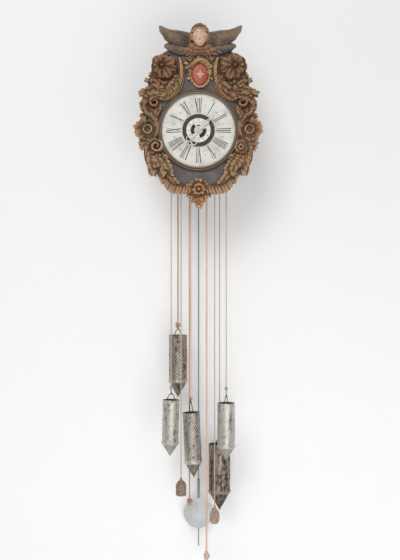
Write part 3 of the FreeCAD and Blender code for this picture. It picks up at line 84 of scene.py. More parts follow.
def srgb(*parts: int) -> Colour:
    """A screen colour as linear light.

    Args:
        parts: Red, green and blue from 0 to 255.

    Returns:
        The three linear parts.
    """
    shares = [part / 255 for part in parts]
    return tuple(share / 12.92 if share <= 0.04045 else ((share + 0.055) / 1.055) ** 2.4
                 for share in shares)


def operator(operation: str, swap: bool = False) -> Callable[["Sock", Any], "Sock"]:
    """A Python operator that adds a Math node; with swap, the other value comes first."""
    return lambda value, other: value.math(operation, other, swap=swap)


class Sock:
    """A shader value that Python's operators turn into Math nodes."""

    def __init__(self, shade: "Shade", socket: NodeSocket) -> None:
        """Wrap one output socket."""
        self.shade = shade
        self.socket = socket

    def math(self, operation: str, *others: Any, swap: bool = False) -> "Sock":
        """Add a Math node.

        Args:
            operation: The node's operation.
            others: The values after this one.
            swap: Put this value second.

        Returns:
            The node's value.
        """
        values = [self, *others]
        if swap:
            values.reverse()
        node = self.shade.node("ShaderNodeMath", {"operation": operation}, dict(enumerate(values)))
        return Sock(self.shade, node.outputs[0])

    __add__ = __radd__ = operator("ADD")
    __sub__ = operator("SUBTRACT")
    __rsub__ = operator("SUBTRACT", swap=True)
    __mul__ = __rmul__ = operator("MULTIPLY")
    __truediv__ = operator("DIVIDE")
    __pow__ = operator("POWER")

    def step(self, low: float, high: float) -> "Sock":
        """Rise smoothly from 0 at low to 1 at high."""
        node = self.shade.node(
            "ShaderNodeMapRange", {"interpolation_type": "SMOOTHSTEP", "clamp": True},
            {0: self, 1: low, 2: high, 3: 0.0, 4: 1.0})
        return Sock(self.shade, node.outputs[0])

    def band(self, low: float, high: float, soft: float) -> "Sock":
        """1 between low and high, with soft edges."""
        return self.step(low - soft, low + soft) * (1 - self.step(high - soft, high + soft))


class Shade:
    """One material's node tree and the few nodes that its finish needs."""

    def __init__(self, name: str) -> None:
        """Start a material with an empty Principled shader."""
        self.material = bpy.data.materials.new(name)
        self.material.use_nodes = True
        self.tree = self.material.node_tree
        self.surface = self.tree.nodes["Principled BSDF"]
        self.place = self.node("ShaderNodeTexCoord").outputs["Object"]
        self.base: Any = (0.0, 0.0, 0.0)

    def node(self, kind: str, settings: dict[str, Any] | None = None,
             sockets: dict[Any, Any] | None = None) -> bpy.types.Node:
        """Add any node.

        Args:
            kind: The node's type.
            settings: Its own settings, set first.
            sockets: Values or links of its inputs, by place or name.

        Returns:
            The node.
        """
        made = self.tree.nodes.new(kind)
        for key, value in (settings or {}).items():
            setattr(made, key, value)
        for key, value in (sockets or {}).items():
            self.feed(made.inputs[key], value)
        return made

    def feed(self, socket: NodeSocket, value: Any) -> None:
        """Link a value to an input, or set it there."""
        if isinstance(value, Sock):
            self.tree.links.new(value.socket, socket)
        elif isinstance(value, NodeSocket):
            self.tree.links.new(value, socket)
        elif isinstance(value, tuple) and socket.type == "RGBA":
            socket.default_value = (*value, 1.0)
        else:
            socket.default_value = value

    def mapped(self, centre: Sequence[float], scale: Sequence[float] = (1, 1, 1)) -> NodeSocket:
        """Object coordinates about a centre, stretched."""
        moved = self.node("ShaderNodeVectorMath", {"operation": "SUBTRACT"},
                          {0: self.place, 1: tuple(centre)})
        mapping = self.node("ShaderNodeMapping", {}, {"Vector": moved.outputs[0], "Scale": tuple(scale)})
        return mapping.outputs[0]

    def noise(self, size: float, detail: float, rough: float, stretch: Sequence[float] = (1, 1, 1),
              shift: float = 0.0) -> Sock:
        """Cloudy noise.

        Args:
            size: Width of its patches in millimetres.
            detail: Octaves.
            rough: Strength of the finer octaves.
            stretch: Shares of the scale along each axis.
            shift: Moves the pattern, so that two noises differ.

        Returns:
            A value from 0 to 1.
        """
        place = self.mapped((shift, shift * 0.7, -shift), stretch)
        made = self.node("ShaderNodeTexNoise", {}, {
            "Vector": place, "Scale": 1 / (size * MM), "Detail": detail, "Roughness": rough})
        return Sock(self, made.outputs[0])

    def parts(self, vector: NodeSocket) -> tuple[Sock, Sock, Sock]:
        """A vector's three parts."""
        made = self.node("ShaderNodeSeparateXYZ", {}, {0: vector})
        return tuple(Sock(self, made.outputs[index]) for index in range(3))

    def attribute(self, name: str) -> Sock:
        """A value that the mesh carries."""
        return Sock(self, self.node("ShaderNodeAttribute", {"attribute_name": name}).outputs["Fac"])

    def mix(self, share: Any, first: Any, second: Any) -> NodeSocket:
        """A colour between two colours."""
        made = self.node("ShaderNodeMix", {"data_type": "RGBA", "clamp_factor": True},
                         {0: share, 6: first, 7: second})
        return made.outputs[2]

    def coat(self, share: Any, colour: Any) -> None:
        """Lay a colour over the base colour, as far as a share lets it."""
        self.base = self.mix(share, self.base, colour)

    def reach(self) -> Sock:
        """The distance from the dial's arbor, in millimetres."""
        x, _, z = self.parts(self.mapped((0, 0, DIAL_Z * MM)))
        return (x * x + z * z) ** 0.5 / MM

    def bump(self, height: Sock, depth: float, strength: float) -> None:
        """Let a height tilt the surface, as if it were a depth in millimetres."""
        made = self.node("ShaderNodeBump", {}, {
            "Height": height, "Distance": depth * MM, "Strength": strength})
        self.tree.links.new(made.outputs[0], self.surface.inputs["Normal"])

    def set(self, **values: Any) -> None:
        """Link the base colour, and set the shader's other inputs, spaces written as underscores."""
        self.feed(self.surface.inputs["Base Color"], self.base)
        for key, value in values.items():
            self.feed(self.surface.inputs[key.replace("_", " ")], value)


@dataclass(frozen=True)
class Finish(abc.ABC):
    """How a kind of surface looks."""

    name: str
    made: ClassVar[dict[str, bpy.types.Material]] = {}

    def material(self) -> bpy.types.Material:
        """The finish's material, made once."""
        if self.name not in Finish.made:
            shade = Shade(self.name)
            self.paint(shade)
            Finish.made[self.name] = shade.material
        return Finish.made[self.name]

    @abc.abstractmethod
    def paint(self, shade: Shade) -> None:
        """Fill the material's nodes."""


@dataclass(frozen=True)
class WornGilding(Finish):
    """Carved, bronzed and gilded wood, with painted shade in its hollows and painted highlight on its
    crests.
    """

    # The first colour is painted shade for the hollows and also the dark flecks' colour; gold is the
    # crests' painted highlight.
    hollow: Colour = srgb(78, 57, 42)
    brown: Colour = srgb(173, 134, 94)
    gold: Colour = srgb(216, 182, 135)
    moss: Colour = srgb(160, 142, 99)
    russet: Colour = srgb(174, 129, 91)

    def paint(self, shade: Shade) -> None:
        """Painted shade in hollows, brown flanks, painted highlight on crests, mossy and russet clouds."""
        crest = shade.attribute("crest")
        rise = shade.attribute("rise")
        wear = shade.noise(6.0, 5, 0.65)
        clouds = shade.noise(34.0, 3, 0.5, shift=0.3)
        growth = shade.noise(22.0, 3, 0.5, shift=1.1)
        flecks = shade.noise(1.6, 3, 0.6, shift=0.7)
        # From the carving's relief: high is a painted-highlight mask for crests, low a painted-shade mask
        # for hollows and low places.
        high = (crest + (wear - 0.5) * 1.1).step(0.1, 0.8)
        low = (0.0 - crest + (0.22 - rise) * 0.4 + (wear - 0.5) * 0.5).step(-0.05, 0.5)
        shade.base = self.brown
        shade.coat(clouds.step(0.42, 0.6), self.russet)
        shade.coat(growth.step(0.5, 0.64) * 0.7, self.moss)
        # Painted highlight: the crests turn gold.
        shade.coat(high * 0.8, self.gold)
        # Painted shade: the hollows, and the parts that lie low towards the shield, darken.
        shade.coat(low * 0.9, self.hollow)
        shade.coat(flecks.step(0.62, 0.72) * 0.45, self.hollow)
        shade.set(Roughness=0.42 + 0.3 * wear, Metallic=high * 0.15)
        shade.bump(flecks * 0.6 + wear * 0.4, 0.6, 0.6)


@dataclass(frozen=True)
class OldPaint(Finish):
    """Painted wood, scuffed and dusty; where shaped, painted highlight on its crests and painted shade in
    its hollows.
    """

    colour: Colour
    scuff: Colour
    dirt: Colour
    patch: float
    rough: float = 0.55
    shaped: bool = False

    def paint(self, shade: Shade) -> None:
        """Cloudy colour, scuffs and dirt, and on shaped pieces painted highlight on crests and painted
        shade in hollows.
        """
        clouds = shade.noise(self.patch * 3, 4, 0.55)
        wear = shade.noise(self.patch * 0.5, 6, 0.7, shift=0.4)
        speck = shade.noise(1.4, 2, 0.5, shift=0.9)
        shade.base = self.colour
        shade.coat(clouds.step(0.35, 0.7) * 0.6, self.scuff)
        shade.coat(wear.step(0.56, 0.72) * 0.65, self.dirt)
        if self.shaped:
            crest = shade.attribute("crest")
            # Painted highlight on the crests and painted shade in the hollows, in the scuff and dirt
            # colours.
            shade.coat((crest + (wear - 0.5) * 0.7).step(0.15, 0.7) * 0.8, self.scuff)
            shade.coat((0.0 - crest + (wear - 0.5) * 0.5).step(0.1, 0.6) * 0.85, self.dirt)
        shade.coat(speck.step(0.68, 0.76) * 0.35, self.dirt)
        shade.set(Roughness=self.rough + 0.25 * (wear - 0.5))
        shade.bump(speck * 0.5 + wear * 0.5, 0.35, 0.5)


@dataclass(frozen=True)
class BareWood(Finish):
    """Old oak or beech with grain along one axis."""

    pale: Colour = srgb(150, 112, 72)
    dark: Colour = srgb(92, 62, 38)
    along: Triple = (1.0, 1.0, 0.08)

    def paint(self, shade: Shade) -> None:
        """Long grain, pores and a little grime."""
        grain = shade.noise(6.0, 5, 0.6, self.along)
        pores = shade.noise(1.2, 3, 0.6, self.along, 0.5)
        grime = shade.noise(38.0, 3, 0.5, shift=0.8)
        shade.base = self.dark
        shade.coat(grain.step(0.32, 0.7), self.pale)
        shade.coat(pores.step(0.58, 0.7) * 0.6, self.dark)
        shade.coat(grime.step(0.5, 0.75) * 0.45, srgb(58, 42, 30))
        shade.set(Roughness=0.55 + 0.2 * grain)
        shade.bump(pores * 0.6 + grain * 0.4, 0.3, 0.5)


@dataclass(frozen=True)
class Tin(Finish):
    """Tarnished sheet tin round an upright axis, plain or with slanting lines pressed into it."""

    axis_x: float
    axis_y: float
    pale: Colour
    dark: Colour
    tarnish: float
    seam: float
    lines: int = 0

    LINE_RISE: ClassVar[float] = 9.0

    def paint(self, shade: Shade) -> None:
        """Mottled tarnish and runs, a painted-highlight collar, painted shade on cone and sides, and any
        pressed lines.
        """
        x, y, z = shade.parts(shade.mapped((self.axis_x * MM, self.axis_y * MM, 0)))
        mottle = shade.noise(9.0, 6, 0.68)
        runs = shade.noise(7.0, 4, 0.6, (1, 1, 0.12), 0.6)
        spots = shade.noise(2.2, 3, 0.6, shift=0.9)
        inside = shade.attribute("inside")
        level = z / MM
        shaded_cone = 1 - level.step(self.seam - 1.5, self.seam - 0.5)
        collar = level.band(self.seam - 0.5, self.seam + 8.0, 1.2)
        shadow = (mottle * 0.55 + runs * 0.45).step(0.6 - 0.2 * self.tarnish, 0.86 - 0.3 * self.tarnish)
        shade.base = self.pale
        shade.coat(shadow, self.dark)
        shade.coat(spots.step(0.62, 0.72) * 0.5, self.dark)
        # Painted highlight: the bulging collar is made pale all round.
        shade.coat(collar * 0.55, self.pale)
        # Painted shade: the downward-facing cone is darkened.
        shade.coat(shaded_cone * 0.4, self.dark)
        height = mottle * 0.3 + spots * 0.2
        if self.lines:
            turn = x.math("ARCTAN2", y)
            wraps = self.lines / (2 * math.pi)
            slope = 1 / (self.LINE_RISE * MM)
            ridge = ((turn * wraps + z * slope).math("FRACT") - 0.5).math("ABSOLUTE").step(0.12, 0.4)
            # Only a band facing front keeps the lines; the rest is plain.
            plain = (collar + shaded_cone + 1 - turn.math("ABSOLUTE").step(1.9, 2.3)).math("MINIMUM", 1.0)
            # Painted shade in the grooves between the pressed ridges, and on the plain sides, back and
            # cone, darkened below.
            shade.coat((1 - ridge) * (1 - plain) * 0.65, self.dark)
            shade.coat(plain * (1 - collar) * 0.35, self.dark)
            height = height + ridge * (1 - plain) * 0.8
        shade.coat(inside, shade.mix(mottle, srgb(128, 88, 58), srgb(70, 46, 30)))
        shade.set(Metallic=0.8 - 0.8 * inside, Roughness=0.36 + 0.25 * mottle)
        shade.bump(height, 0.5, 0.7)


@dataclass(frozen=True)
class OldMetal(Finish):
    """Iron, wire or brass with tarnish."""

    colour: Colour
    tarnish: Colour
    metal: float = 0.8
    rough: float = 0.45
    patch: float = 6.0
    fade: Point = (0.0, 0.0)

    def paint(self, shade: Shade) -> None:
        """Cloudy tarnish with fine pits, and painted shade that darkens it towards the foot, where that is
        given.
        """
        clouds = shade.noise(self.patch, 5, 0.65)
        pits = shade.noise(0.9, 3, 0.6, shift=0.4)
        shade.base = self.colour
        shade.coat(clouds.step(0.42, 0.68) * 0.85, self.tarnish)
        shade.coat(pits.step(0.62, 0.72) * 0.5, self.tarnish)
        # Painted shade: the lower part darkens towards the foot in the tarnish colour.
        if self.fade[1] > self.fade[0]:
            level = shade.parts(shade.place)[2] / MM
            shade.coat((1 - level.step(*self.fade)) * 0.7, self.tarnish)
        shade.set(Metallic=self.metal, Roughness=self.rough + 0.25 * clouds)
        shade.bump(pits * 0.5 + clouds * 0.5, 0.2, 0.5)


@dataclass(frozen=True)
class Hemp(Finish):
    """Twisted fibre."""

    colour: Colour
    shadow: Colour

    def paint(self, shade: Shade) -> None:
        """Fibres along the strands, darkened between them as painted shade, with stains."""
        groove = shade.attribute("groove")
        fibre = shade.noise(0.8, 3, 0.6, (1, 1, 0.3))
        stain = shade.noise(60.0, 3, 0.5, (1, 1, 0.5), 0.4)
        shade.base = self.colour
        # Painted shade in the grooves between the strands; the same dark colour also paints real stains
        # below.
        shade.coat(groove * 0.8 + (fibre - 0.5) * 0.5, self.shadow)
        shade.coat(stain.step(0.5, 0.75) * 0.35, self.shadow)
        shade.set(Roughness=0.85)
        shade.bump(fibre, 0.2, 0.6)


@dataclass(frozen=True)
class DialPaint(Finish):
    """The dial's chalky white, with age spots, scratches and a black middle."""

    white: Colour = srgb(221, 219, 211)
    stain: Colour = srgb(166, 159, 143)
    black: Colour = srgb(24, 22, 21)
    black_to: float = 19.0

    def paint(self, shade: Shade) -> None:
        """White that yellows outwards, and black behind the pierced disc."""
        reach = shade.reach()
        clouds = shade.noise(30.0, 5, 0.65)
        spots = shade.noise(2.0, 4, 0.7, shift=0.5)
        veins = shade.noise(12.0, 6, 0.75, shift=0.9)
        shade.base = self.white
        shade.coat(clouds.step(0.42, 0.72) * 0.55, self.stain)
        shade.coat(spots.step(0.6, 0.68) * 0.5, self.stain)
        shade.coat(veins.step(0.585, 0.68) * 0.6, srgb(128, 118, 102))
        shade.coat((reach + (clouds - 0.5) * 10).step(80, 90) * 0.5, self.stain)
        shade.coat(1 - reach.step(self.black_to - 0.3, self.black_to + 0.3), self.black)
        shade.set(Roughness=0.5 + 0.2 * clouds)
        shade.bump(spots * 0.5 + veins * 0.5, 0.15, 0.4)


@dataclass(frozen=True)
class AlarmDiscPaint(Finish):
    """The alarm disc: a black ring, a white ring for its hours and pale spokes."""

    white: Colour = srgb(226, 222, 214)
    black: Colour = srgb(40, 37, 35)

    def paint(self, shade: Shade) -> None:
        """Rings of paint by their distance from the arbor."""
        reach = shade.reach()
        wear = shade.noise(4.0, 5, 0.7)
        worn = wear.step(0.5, 0.7)
        ring = (reach + (wear - 0.5) * 0.8).band(28.4, 39.0, 0.25)
        shade.base = self.white
        shade.coat(worn * 0.35, srgb(186, 180, 168))
        shade.coat(ring, shade.mix(worn * 0.5, self.black, srgb(104, 99, 93)))
        shade.coat(reach.band(18.6, 19.3, 0.2) * 0.8, self.black)
        shade.set(Roughness=0.5)
        shade.bump(wear, 0.1, 0.4)


@dataclass(frozen=True)
class BezelPaint(Finish):
    """The dial's moulding: brown, with gold lines worn along its steps."""

    brown: Colour = srgb(96, 78, 62)
    gold: Colour = srgb(140, 122, 100)
    dark: Colour = srgb(44, 37, 30)

    def paint(self, shade: Shade) -> None:
        """Gold lines, and painted shade in the groove between the steps and on the outer edge, by distance
        from the arbor.
        """
        reach = shade.reach()
        wear = shade.noise(5.0, 5, 0.7)
        clouds = shade.noise(30.0, 3, 0.5, shift=0.5)
        lines = reach.band(86.0, 88.6, 0.3) + reach.band(91.4, 93.6, 0.5) * 0.8
        shade.base = self.brown
        shade.coat(clouds.step(0.4, 0.7) * 0.6, srgb(112, 96, 78))
        shade.coat(lines * (0.4 + wear), self.gold)
        # Painted shade in the groove between the two steps and on the ring's outer edge.
        shade.coat((reach.band(89.0, 90.8, 0.4) + reach.step(94.0, 95.0)) * 0.85, self.dark)
        shade.set(Roughness=0.45 + 0.2 * wear)
        shade.bump(wear, 0.3, 0.4)


@dataclass(frozen=True)
class Skin(Finish):
    """The carved face: flesh paint with rosy cheeks, painted eyes, brows and lips."""

    flesh: Colour = srgb(213, 182, 159)
    rose: Colour = srgb(214, 138, 120)
    brow: Colour = srgb(112, 78, 54)

    def paint(self, shade: Shade) -> None:
        """Painted features by attributes that the mesh carries."""
        clouds = shade.noise(6.0, 4, 0.6)
        chips = shade.noise(1.5, 4, 0.7, shift=0.5)
        shade.base = self.flesh
        shade.coat(clouds.step(0.4, 0.75) * 0.3, srgb(206, 168, 142))
        for feature, share, colour in (
                ("blush", 0.75, self.rose), ("lips", 0.8, srgb(186, 96, 84)), ("brows", 0.8, self.brow),
                ("eyes", 1.0, srgb(236, 232, 222)), ("iris", 1.0, srgb(62, 48, 38))):
            shade.coat(shade.attribute(feature) * share, colour)
        shade.coat(chips.step(0.68, 0.74) * 0.4, srgb(150, 112, 86))
        shade.set(Roughness=0.42)
        shade.bump(chips, 0.15, 0.4)


@dataclass(frozen=True)
class Plaster(Finish):
    """The white wall behind the clock, with painted light that makes it paler towards the floor."""

    above: Colour = (0.80, 0.80, 0.80)
    below: Colour = (0.92, 0.92, 0.92)
    glow: float = 0.125

    def paint(self, shade: Shade) -> None:
        """Matt white with painted light that pales it towards the clock's foot, and lets views and light
        from behind through.
        """
        rays = shade.node("ShaderNodeLightPath")
        camera, glossy, shadow = (Sock(shade, rays.outputs[f"Is {kind} Ray"])
                                  for kind in ("Camera", "Glossy", "Shadow"))
        # Painted light: the wall is paler low down and darker higher up.
        shade.base = self.below
        shade.coat(shade.parts(shade.place)[2].step(-1.2, 0.2), self.above)
        glow = shade.mix(camera.math("MAXIMUM", glossy), (0.0, 0.0, 0.0), (self.glow,) * 3)
        shade.set(Roughness=0.9, Emission_Color=glow, Emission_Strength=1.0)
        behind = Sock(shade, shade.node("ShaderNodeNewGeometry").outputs["Backfacing"])
        glass = shade.node("ShaderNodeBsdfTransparent").outputs[0]
        both = shade.node("ShaderNodeMixShader", {}, {
            0: behind.math("MAXIMUM", shadow), 1: shade.surface.outputs[0], 2: glass})
        shade.tree.links.new(both.outputs[0], shade.tree.nodes["Material Output"].inputs[0])


# Lighter and darker copies of one gilding for groups of carvings: partly real differences, partly painted
# light and shade. The pendant's lit copy paints in the light it lacks where it hangs in the clock's shade.
GILT = WornGilding("worn_gilding")
BLOOM_GILT = WornGilding("dark_gilding", srgb(60, 43, 31), srgb(150, 109, 75), srgb(204, 160, 111),
                         srgb(136, 117, 78), srgb(154, 104, 72))
BRIGHT_GILT = WornGilding("bright_gilding", srgb(98, 75, 57), srgb(195, 156, 117), srgb(232, 200, 155),
                          srgb(178, 161, 119), srgb(198, 150, 113))
MOSSY_GILT = WornGilding("mossy_gilding", srgb(88, 72, 54), srgb(178, 146, 110), srgb(226, 192, 146),
                         srgb(152, 142, 108), srgb(180, 136, 102))
LIT_PENDANT_GILT = WornGilding("lit_pendant_gilding", srgb(108, 80, 59), srgb(214, 168, 125), srgb(242, 208, 162),
                        srgb(198, 172, 126), srgb(220, 160, 120))
WING_PAINT = OldPaint("wing_paint", srgb(89, 74, 59), srgb(142, 118, 91), srgb(42, 31, 24), 7.0,
                      shaped=True)
FRAME_GREEN = OldPaint("leafy_green_gold", srgb(184, 148, 106), srgb(220, 188, 142), srgb(84, 66, 46), 8.0,
                       shaped=True)
RED_PAINT = OldPaint("cartouche_red", srgb(152, 72, 59), srgb(184, 104, 86), srgb(112, 46, 40), 9.0, 0.5)
BOARD_PAINT = OldPaint("board_paint", srgb(78, 70, 66), srgb(113, 112, 108), srgb(43, 35, 31), 16.0, 0.55)
BEZEL_PAINT = BezelPaint("bezel_paint")
RUFF_PAINT = WornGilding("russet_feathers", srgb(118, 89, 68), srgb(186, 144, 108), srgb(214, 174, 134),
                         srgb(168, 144, 108), srgb(176, 128, 102))
CASE_WOOD = BareWood("case_wood")
PLATE_WOOD = BareWood("plate_wood", srgb(160, 120, 76), srgb(108, 74, 44), (0.08, 1.0, 1.0))
WHEEL_WOOD = BareWood("wheel_wood", srgb(186, 148, 96), srgb(128, 92, 54), (0.3, 1.0, 1.0))
IRON = OldMetal("forged_iron", srgb(92, 86, 80), srgb(46, 38, 32))
WIRE = OldMetal("dull_wire", srgb(168, 164, 156), srgb(104, 96, 86), 0.9, 0.35)
BELL = OldMetal("bell_metal", srgb(196, 160, 92), srgb(120, 90, 46), 0.95, 0.3, 14.0)
# The bob's last pair is the height range of its painted shade, darkening towards its foot.
BOB_TIN = OldMetal("bob_tin", srgb(230, 231, 232), srgb(194, 196, 198), 0.5, 0.4, 30.0, (-1066, -984))
RUST = OldMetal("rusty_iron", srgb(160, 138, 126), srgb(112, 90, 80), 0.3, 0.6, 5.0)
PALE_RUST = OldMetal("pale_rust", srgb(190, 162, 142), srgb(136, 108, 92), 0.3, 0.6, 5.0)
HAND_METAL = OldMetal("hand_metal", srgb(226, 221, 208), srgb(168, 160, 144), 0.25, 0.45, 3.0)
HEMP = Hemp("hemp_rope", srgb(240, 212, 190), srgb(192, 150, 122))
BEADED = Hemp("beaded_rope", srgb(206, 176, 156), srgb(124, 92, 74))
GREY_CORD = Hemp("grey_cord", srgb(208, 192, 174), srgb(152, 130, 110))
KNOT_HEMP = Hemp("knot_hemp", srgb(214, 174, 132), srgb(146, 104, 70))
INK = OldPaint("dial_ink", srgb(62, 58, 55), srgb(112, 106, 99), srgb(44, 40, 38), 3.0, 0.5)
SKIN = Skin("face_paint")
HAIR = OldPaint("hair_paint", srgb(118, 86, 58), srgb(186, 150, 106), srgb(62, 42, 28), 6.0, 0.5, True)
PALE_PAINT = OldPaint("pale_paint", srgb(226, 176, 156), srgb(236, 204, 186), srgb(176, 104, 88), 4.0)


def deselect() -> None:
    """Leave edit mode and select nothing."""
    if bpy.context.object and bpy.context.object.mode != "OBJECT":
        bpy.ops.object.mode_set(mode="OBJECT")
    bpy.ops.object.select_all(action="DESELECT")


def pick(obj: Piece) -> None:
    """Select one object alone and make it the active one."""
    deselect()
    obj.select_set(True)
    bpy.context.view_layer.objects.active = obj


def added(operator: Callable[..., Any], **settings: Any) -> Piece:
    """The object that one of Blender's operators adds."""
    deselect()
    operator(**settings)
    return bpy.context.active_object


def grid(columns: int, rows: int) -> Piece:
    """A flat grid, to be moved into shape."""
    return added(bpy.ops.mesh.primitive_grid_add, x_subdivisions=columns, y_subdivisions=rows, size=1)


def ball(segments: int, rings: int) -> Piece:
    """A sphere of radius 1, to be moved into shape."""
    return added(bpy.ops.mesh.primitive_uv_sphere_add, segments=segments, ring_count=rings, radius=1)


def linked(name: str, data: bpy.types.ID) -> Piece:
    """A new object in the scene."""
    obj = bpy.data.objects.new(name, data)
    bpy.context.scene.collection.objects.link(obj)
    return obj


def joined(objects: Sequence[Piece], name: str) -> Piece:
    """Join objects into one piece.

    Args:
        objects: At least one object.
        name: The piece's name.

    Returns:
        The piece.
    """
    deselect()
    for obj in objects:
        obj.select_set(True)
    bpy.context.view_layer.objects.active = objects[0]
    if len(objects) > 1:
        bpy.ops.object.join()
    piece = bpy.context.view_layer.objects.active
    piece.name = name
    piece.data.name = name
    return piece


def in_edit(obj: Piece, *steps: Callable[[], Any]) -> None:
    """Run operators on all of an object's faces in edit mode."""
    pick(obj)
    bpy.ops.object.mode_set(mode="EDIT")
    bpy.ops.mesh.select_all(action="SELECT")
    for step in steps:
        step()
    bpy.ops.object.mode_set(mode="OBJECT")


def weld(gap: float) -> None:
    """Merge the selected points that lie within a gap in millimetres."""
    bpy.ops.mesh.remove_doubles(threshold=gap * MM)


def face_out() -> None:
    """Turn the selected faces outwards."""
    bpy.ops.mesh.normals_make_consistent(inside=False)


def soften(obj: Piece, angle: float) -> None:
    """Shade smooth, but keep edges sharper than an angle."""
    pick(obj)
    bpy.ops.object.shade_smooth_by_angle(angle=math.radians(angle))


def applied(obj: Piece, kind: str, **settings: Any) -> None:
    """Add a modifier and apply it."""
    pick(obj)
    made = obj.modifiers.new(kind.lower(), kind)
    for key, value in settings.items():
        setattr(made, key, value)
    bpy.ops.object.modifier_apply(modifier=made.name)


def coords(mesh: bpy.types.Mesh) -> np.ndarray:
    """A mesh's points, one row each."""
    flat = np.empty(len(mesh.vertices) * 3)
    mesh.vertices.foreach_get("co", flat)
    return flat.reshape(-1, 3)


def set_coords(mesh: bpy.types.Mesh, points: np.ndarray) -> None:
    """Move a mesh's points."""
    mesh.vertices.foreach_set("co", np.asarray(points, float).ravel())
    mesh.update()


def carry(mesh: bpy.types.Mesh, name: str, values: np.ndarray) -> None:
    """Store one value per point for the finish to read."""
    layer = mesh.attributes.get(name) or mesh.attributes.new(name, "FLOAT", "POINT")
    layer.data.foreach_set("value", np.asarray(values, np.float32))


def box_mean(field: np.ndarray, reach: int) -> np.ndarray:
    """Mean of a grid's values over the square round each cell."""
    for axis in (0, 1):
        pads = [(0, 0), (0, 0)]
        pads[axis] = (reach + 1, reach)
        total = np.cumsum(np.pad(field, pads, mode="edge"), axis=axis)
        width = 2 * reach + 1
        field = (np.take(total, range(width, total.shape[axis]), axis)
                 - np.take(total, range(0, total.shape[axis] - width), axis)) / width
    return field


def mark_relief(pieces: Sequence[Piece], cell: float = 2.0) -> None:
    """Store how far each point of the carvings stands out of, or lies below, the carving around it.

    Args:
        pieces: Carvings that lie beside or over one another.
        cell: Width in millimetres of the cells in which heights are gathered.
    """
    stacked = np.vstack([coords(piece.data) for piece in pieces]) / MM
    corner = stacked.min(0)[[0, 2]]
    column = ((stacked[:, [0, 2]] - corner) / cell).astype(int)
    field = np.zeros(column.max(0) + 3)
    np.maximum.at(field, (column[:, 0] + 1, column[:, 1] + 1), SHIELD_FACE - stacked[:, 1])
    filled = field.copy()
    filled[1:-1, 1:-1] = np.maximum.reduce([field[1:-1, 1:-1], field[:-2, 1:-1], field[2:, 1:-1],
                                            field[1:-1, :-2], field[1:-1, 2:]])
    near, wide = box_mean(filled, NEAR_CELLS), box_mean(filled, WIDE_CELLS)
    for piece in pieces:
        points = coords(piece.data) / MM
        spot = tuple((((points[:, [0, 2]] - corner) / cell).astype(int) + 1).T)
        height = SHIELD_FACE - points[:, 1]
        crest = (0.5 * (height - near[spot]) / NEAR_HEIGHT
                 + 0.5 * (height - wide[spot]) / WIDE_HEIGHT)
        carry(piece.data, "crest", np.clip(crest, -1, 1))
        carry(piece.data, "rise", np.clip(height / FULL_RISE, 0, 1))


def dressed(obj: Piece, finish: Finish) -> None:
    """Give a piece one finish."""
    obj.data.materials.clear()
    obj.data.materials.append(finish.material())


def shown(obj: Piece, body: str, finish: Finish, slot: str, *nodes: str) -> Piece:
    """Finish a piece, let it ride a body and stand for CAD nodes.

    Args:
        obj: The piece.
        body: The body it rides.
        finish: Its finish.
        slot: A material slot's name; not used.
        nodes: CAD nodes that it stands for.

    Returns:
        The piece.
    """
    dressed(obj, finish)
    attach(obj, body)
    if nodes:
        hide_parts(*nodes)
    LOG.info("%s: %d faces on %s", obj.name, len(obj.data.polygons), body)
    return obj


def run_of(line: np.ndarray) -> np.ndarray:
    """The way along a line to each of its points."""
    return np.concatenate([[0], np.cumsum(np.linalg.norm(np.diff(line, axis=0), axis=1))])


def sampled(line: np.ndarray, known: np.ndarray, wanted: np.ndarray) -> np.ndarray:
    """A line's points at wanted places, where the places of its own points are known."""
    return np.column_stack([np.interp(wanted, known, part) for part in line.T])


def heading(turn: float) -> np.ndarray:
    """The direction of a clock angle in radians."""
    return np.array([math.sin(turn), math.cos(turn)])


def spoke(centre: np.ndarray, way: np.ndarray, inner: float, outer: float) -> list[np.ndarray]:
    """A straight line out from a centre."""
    return [centre + way * inner, centre + way * (inner + outer) / 2, centre + way * outer]


def on_dial(across: np.ndarray, out: np.ndarray, front: np.ndarray, turn: float) -> np.ndarray:
    """Places on the dial.

    Args:
        across: Millimetres to the right of a clock angle's line.
        out: Millimetres out from the dial's middle.
        front: Their y in millimetres.
        turn: The clock angle in radians.

    Returns:
        One row in metres for each place.
    """
    return MM * np.column_stack([across * math.cos(turn) + out * math.sin(turn), front,
                                 DIAL_Z - across * math.sin(turn) + out * math.cos(turn)])


def smooth_line(points: Line, count: int) -> np.ndarray:
    """Points along a smooth line through given points.

    Args:
        points: At least two points.
        count: How many points to give.

    Returns:
        Points evenly spread along the line.
    """
    given = np.asarray(points, float)
    ends = np.vstack([2 * given[0] - given[1], given, 2 * given[-1] - given[-2]])
    fine = []
    for index in range(1, len(ends) - 2):
        a, b, c, d = ends[index - 1:index + 3]
        for t in np.linspace(0, 1, 24, endpoint=False):
            fine.append(0.5 * (2 * b + (c - a) * t + (2 * a - 5 * b + 4 * c - d) * t ** 2
                               + (3 * b - 3 * c + d - a) * t ** 3))
    fine.append(ends[-2])
    line = np.array(fine)
    run = run_of(line)
    return sampled(line, run, np.linspace(0, run[-1], count))


class Form(Enum):
    """What a carver cuts along a line."""

    LOBE = 1
    PETAL = 2
    RIB = 3
    BAND = 4
    FEATHER = 5
    SPOON = 6


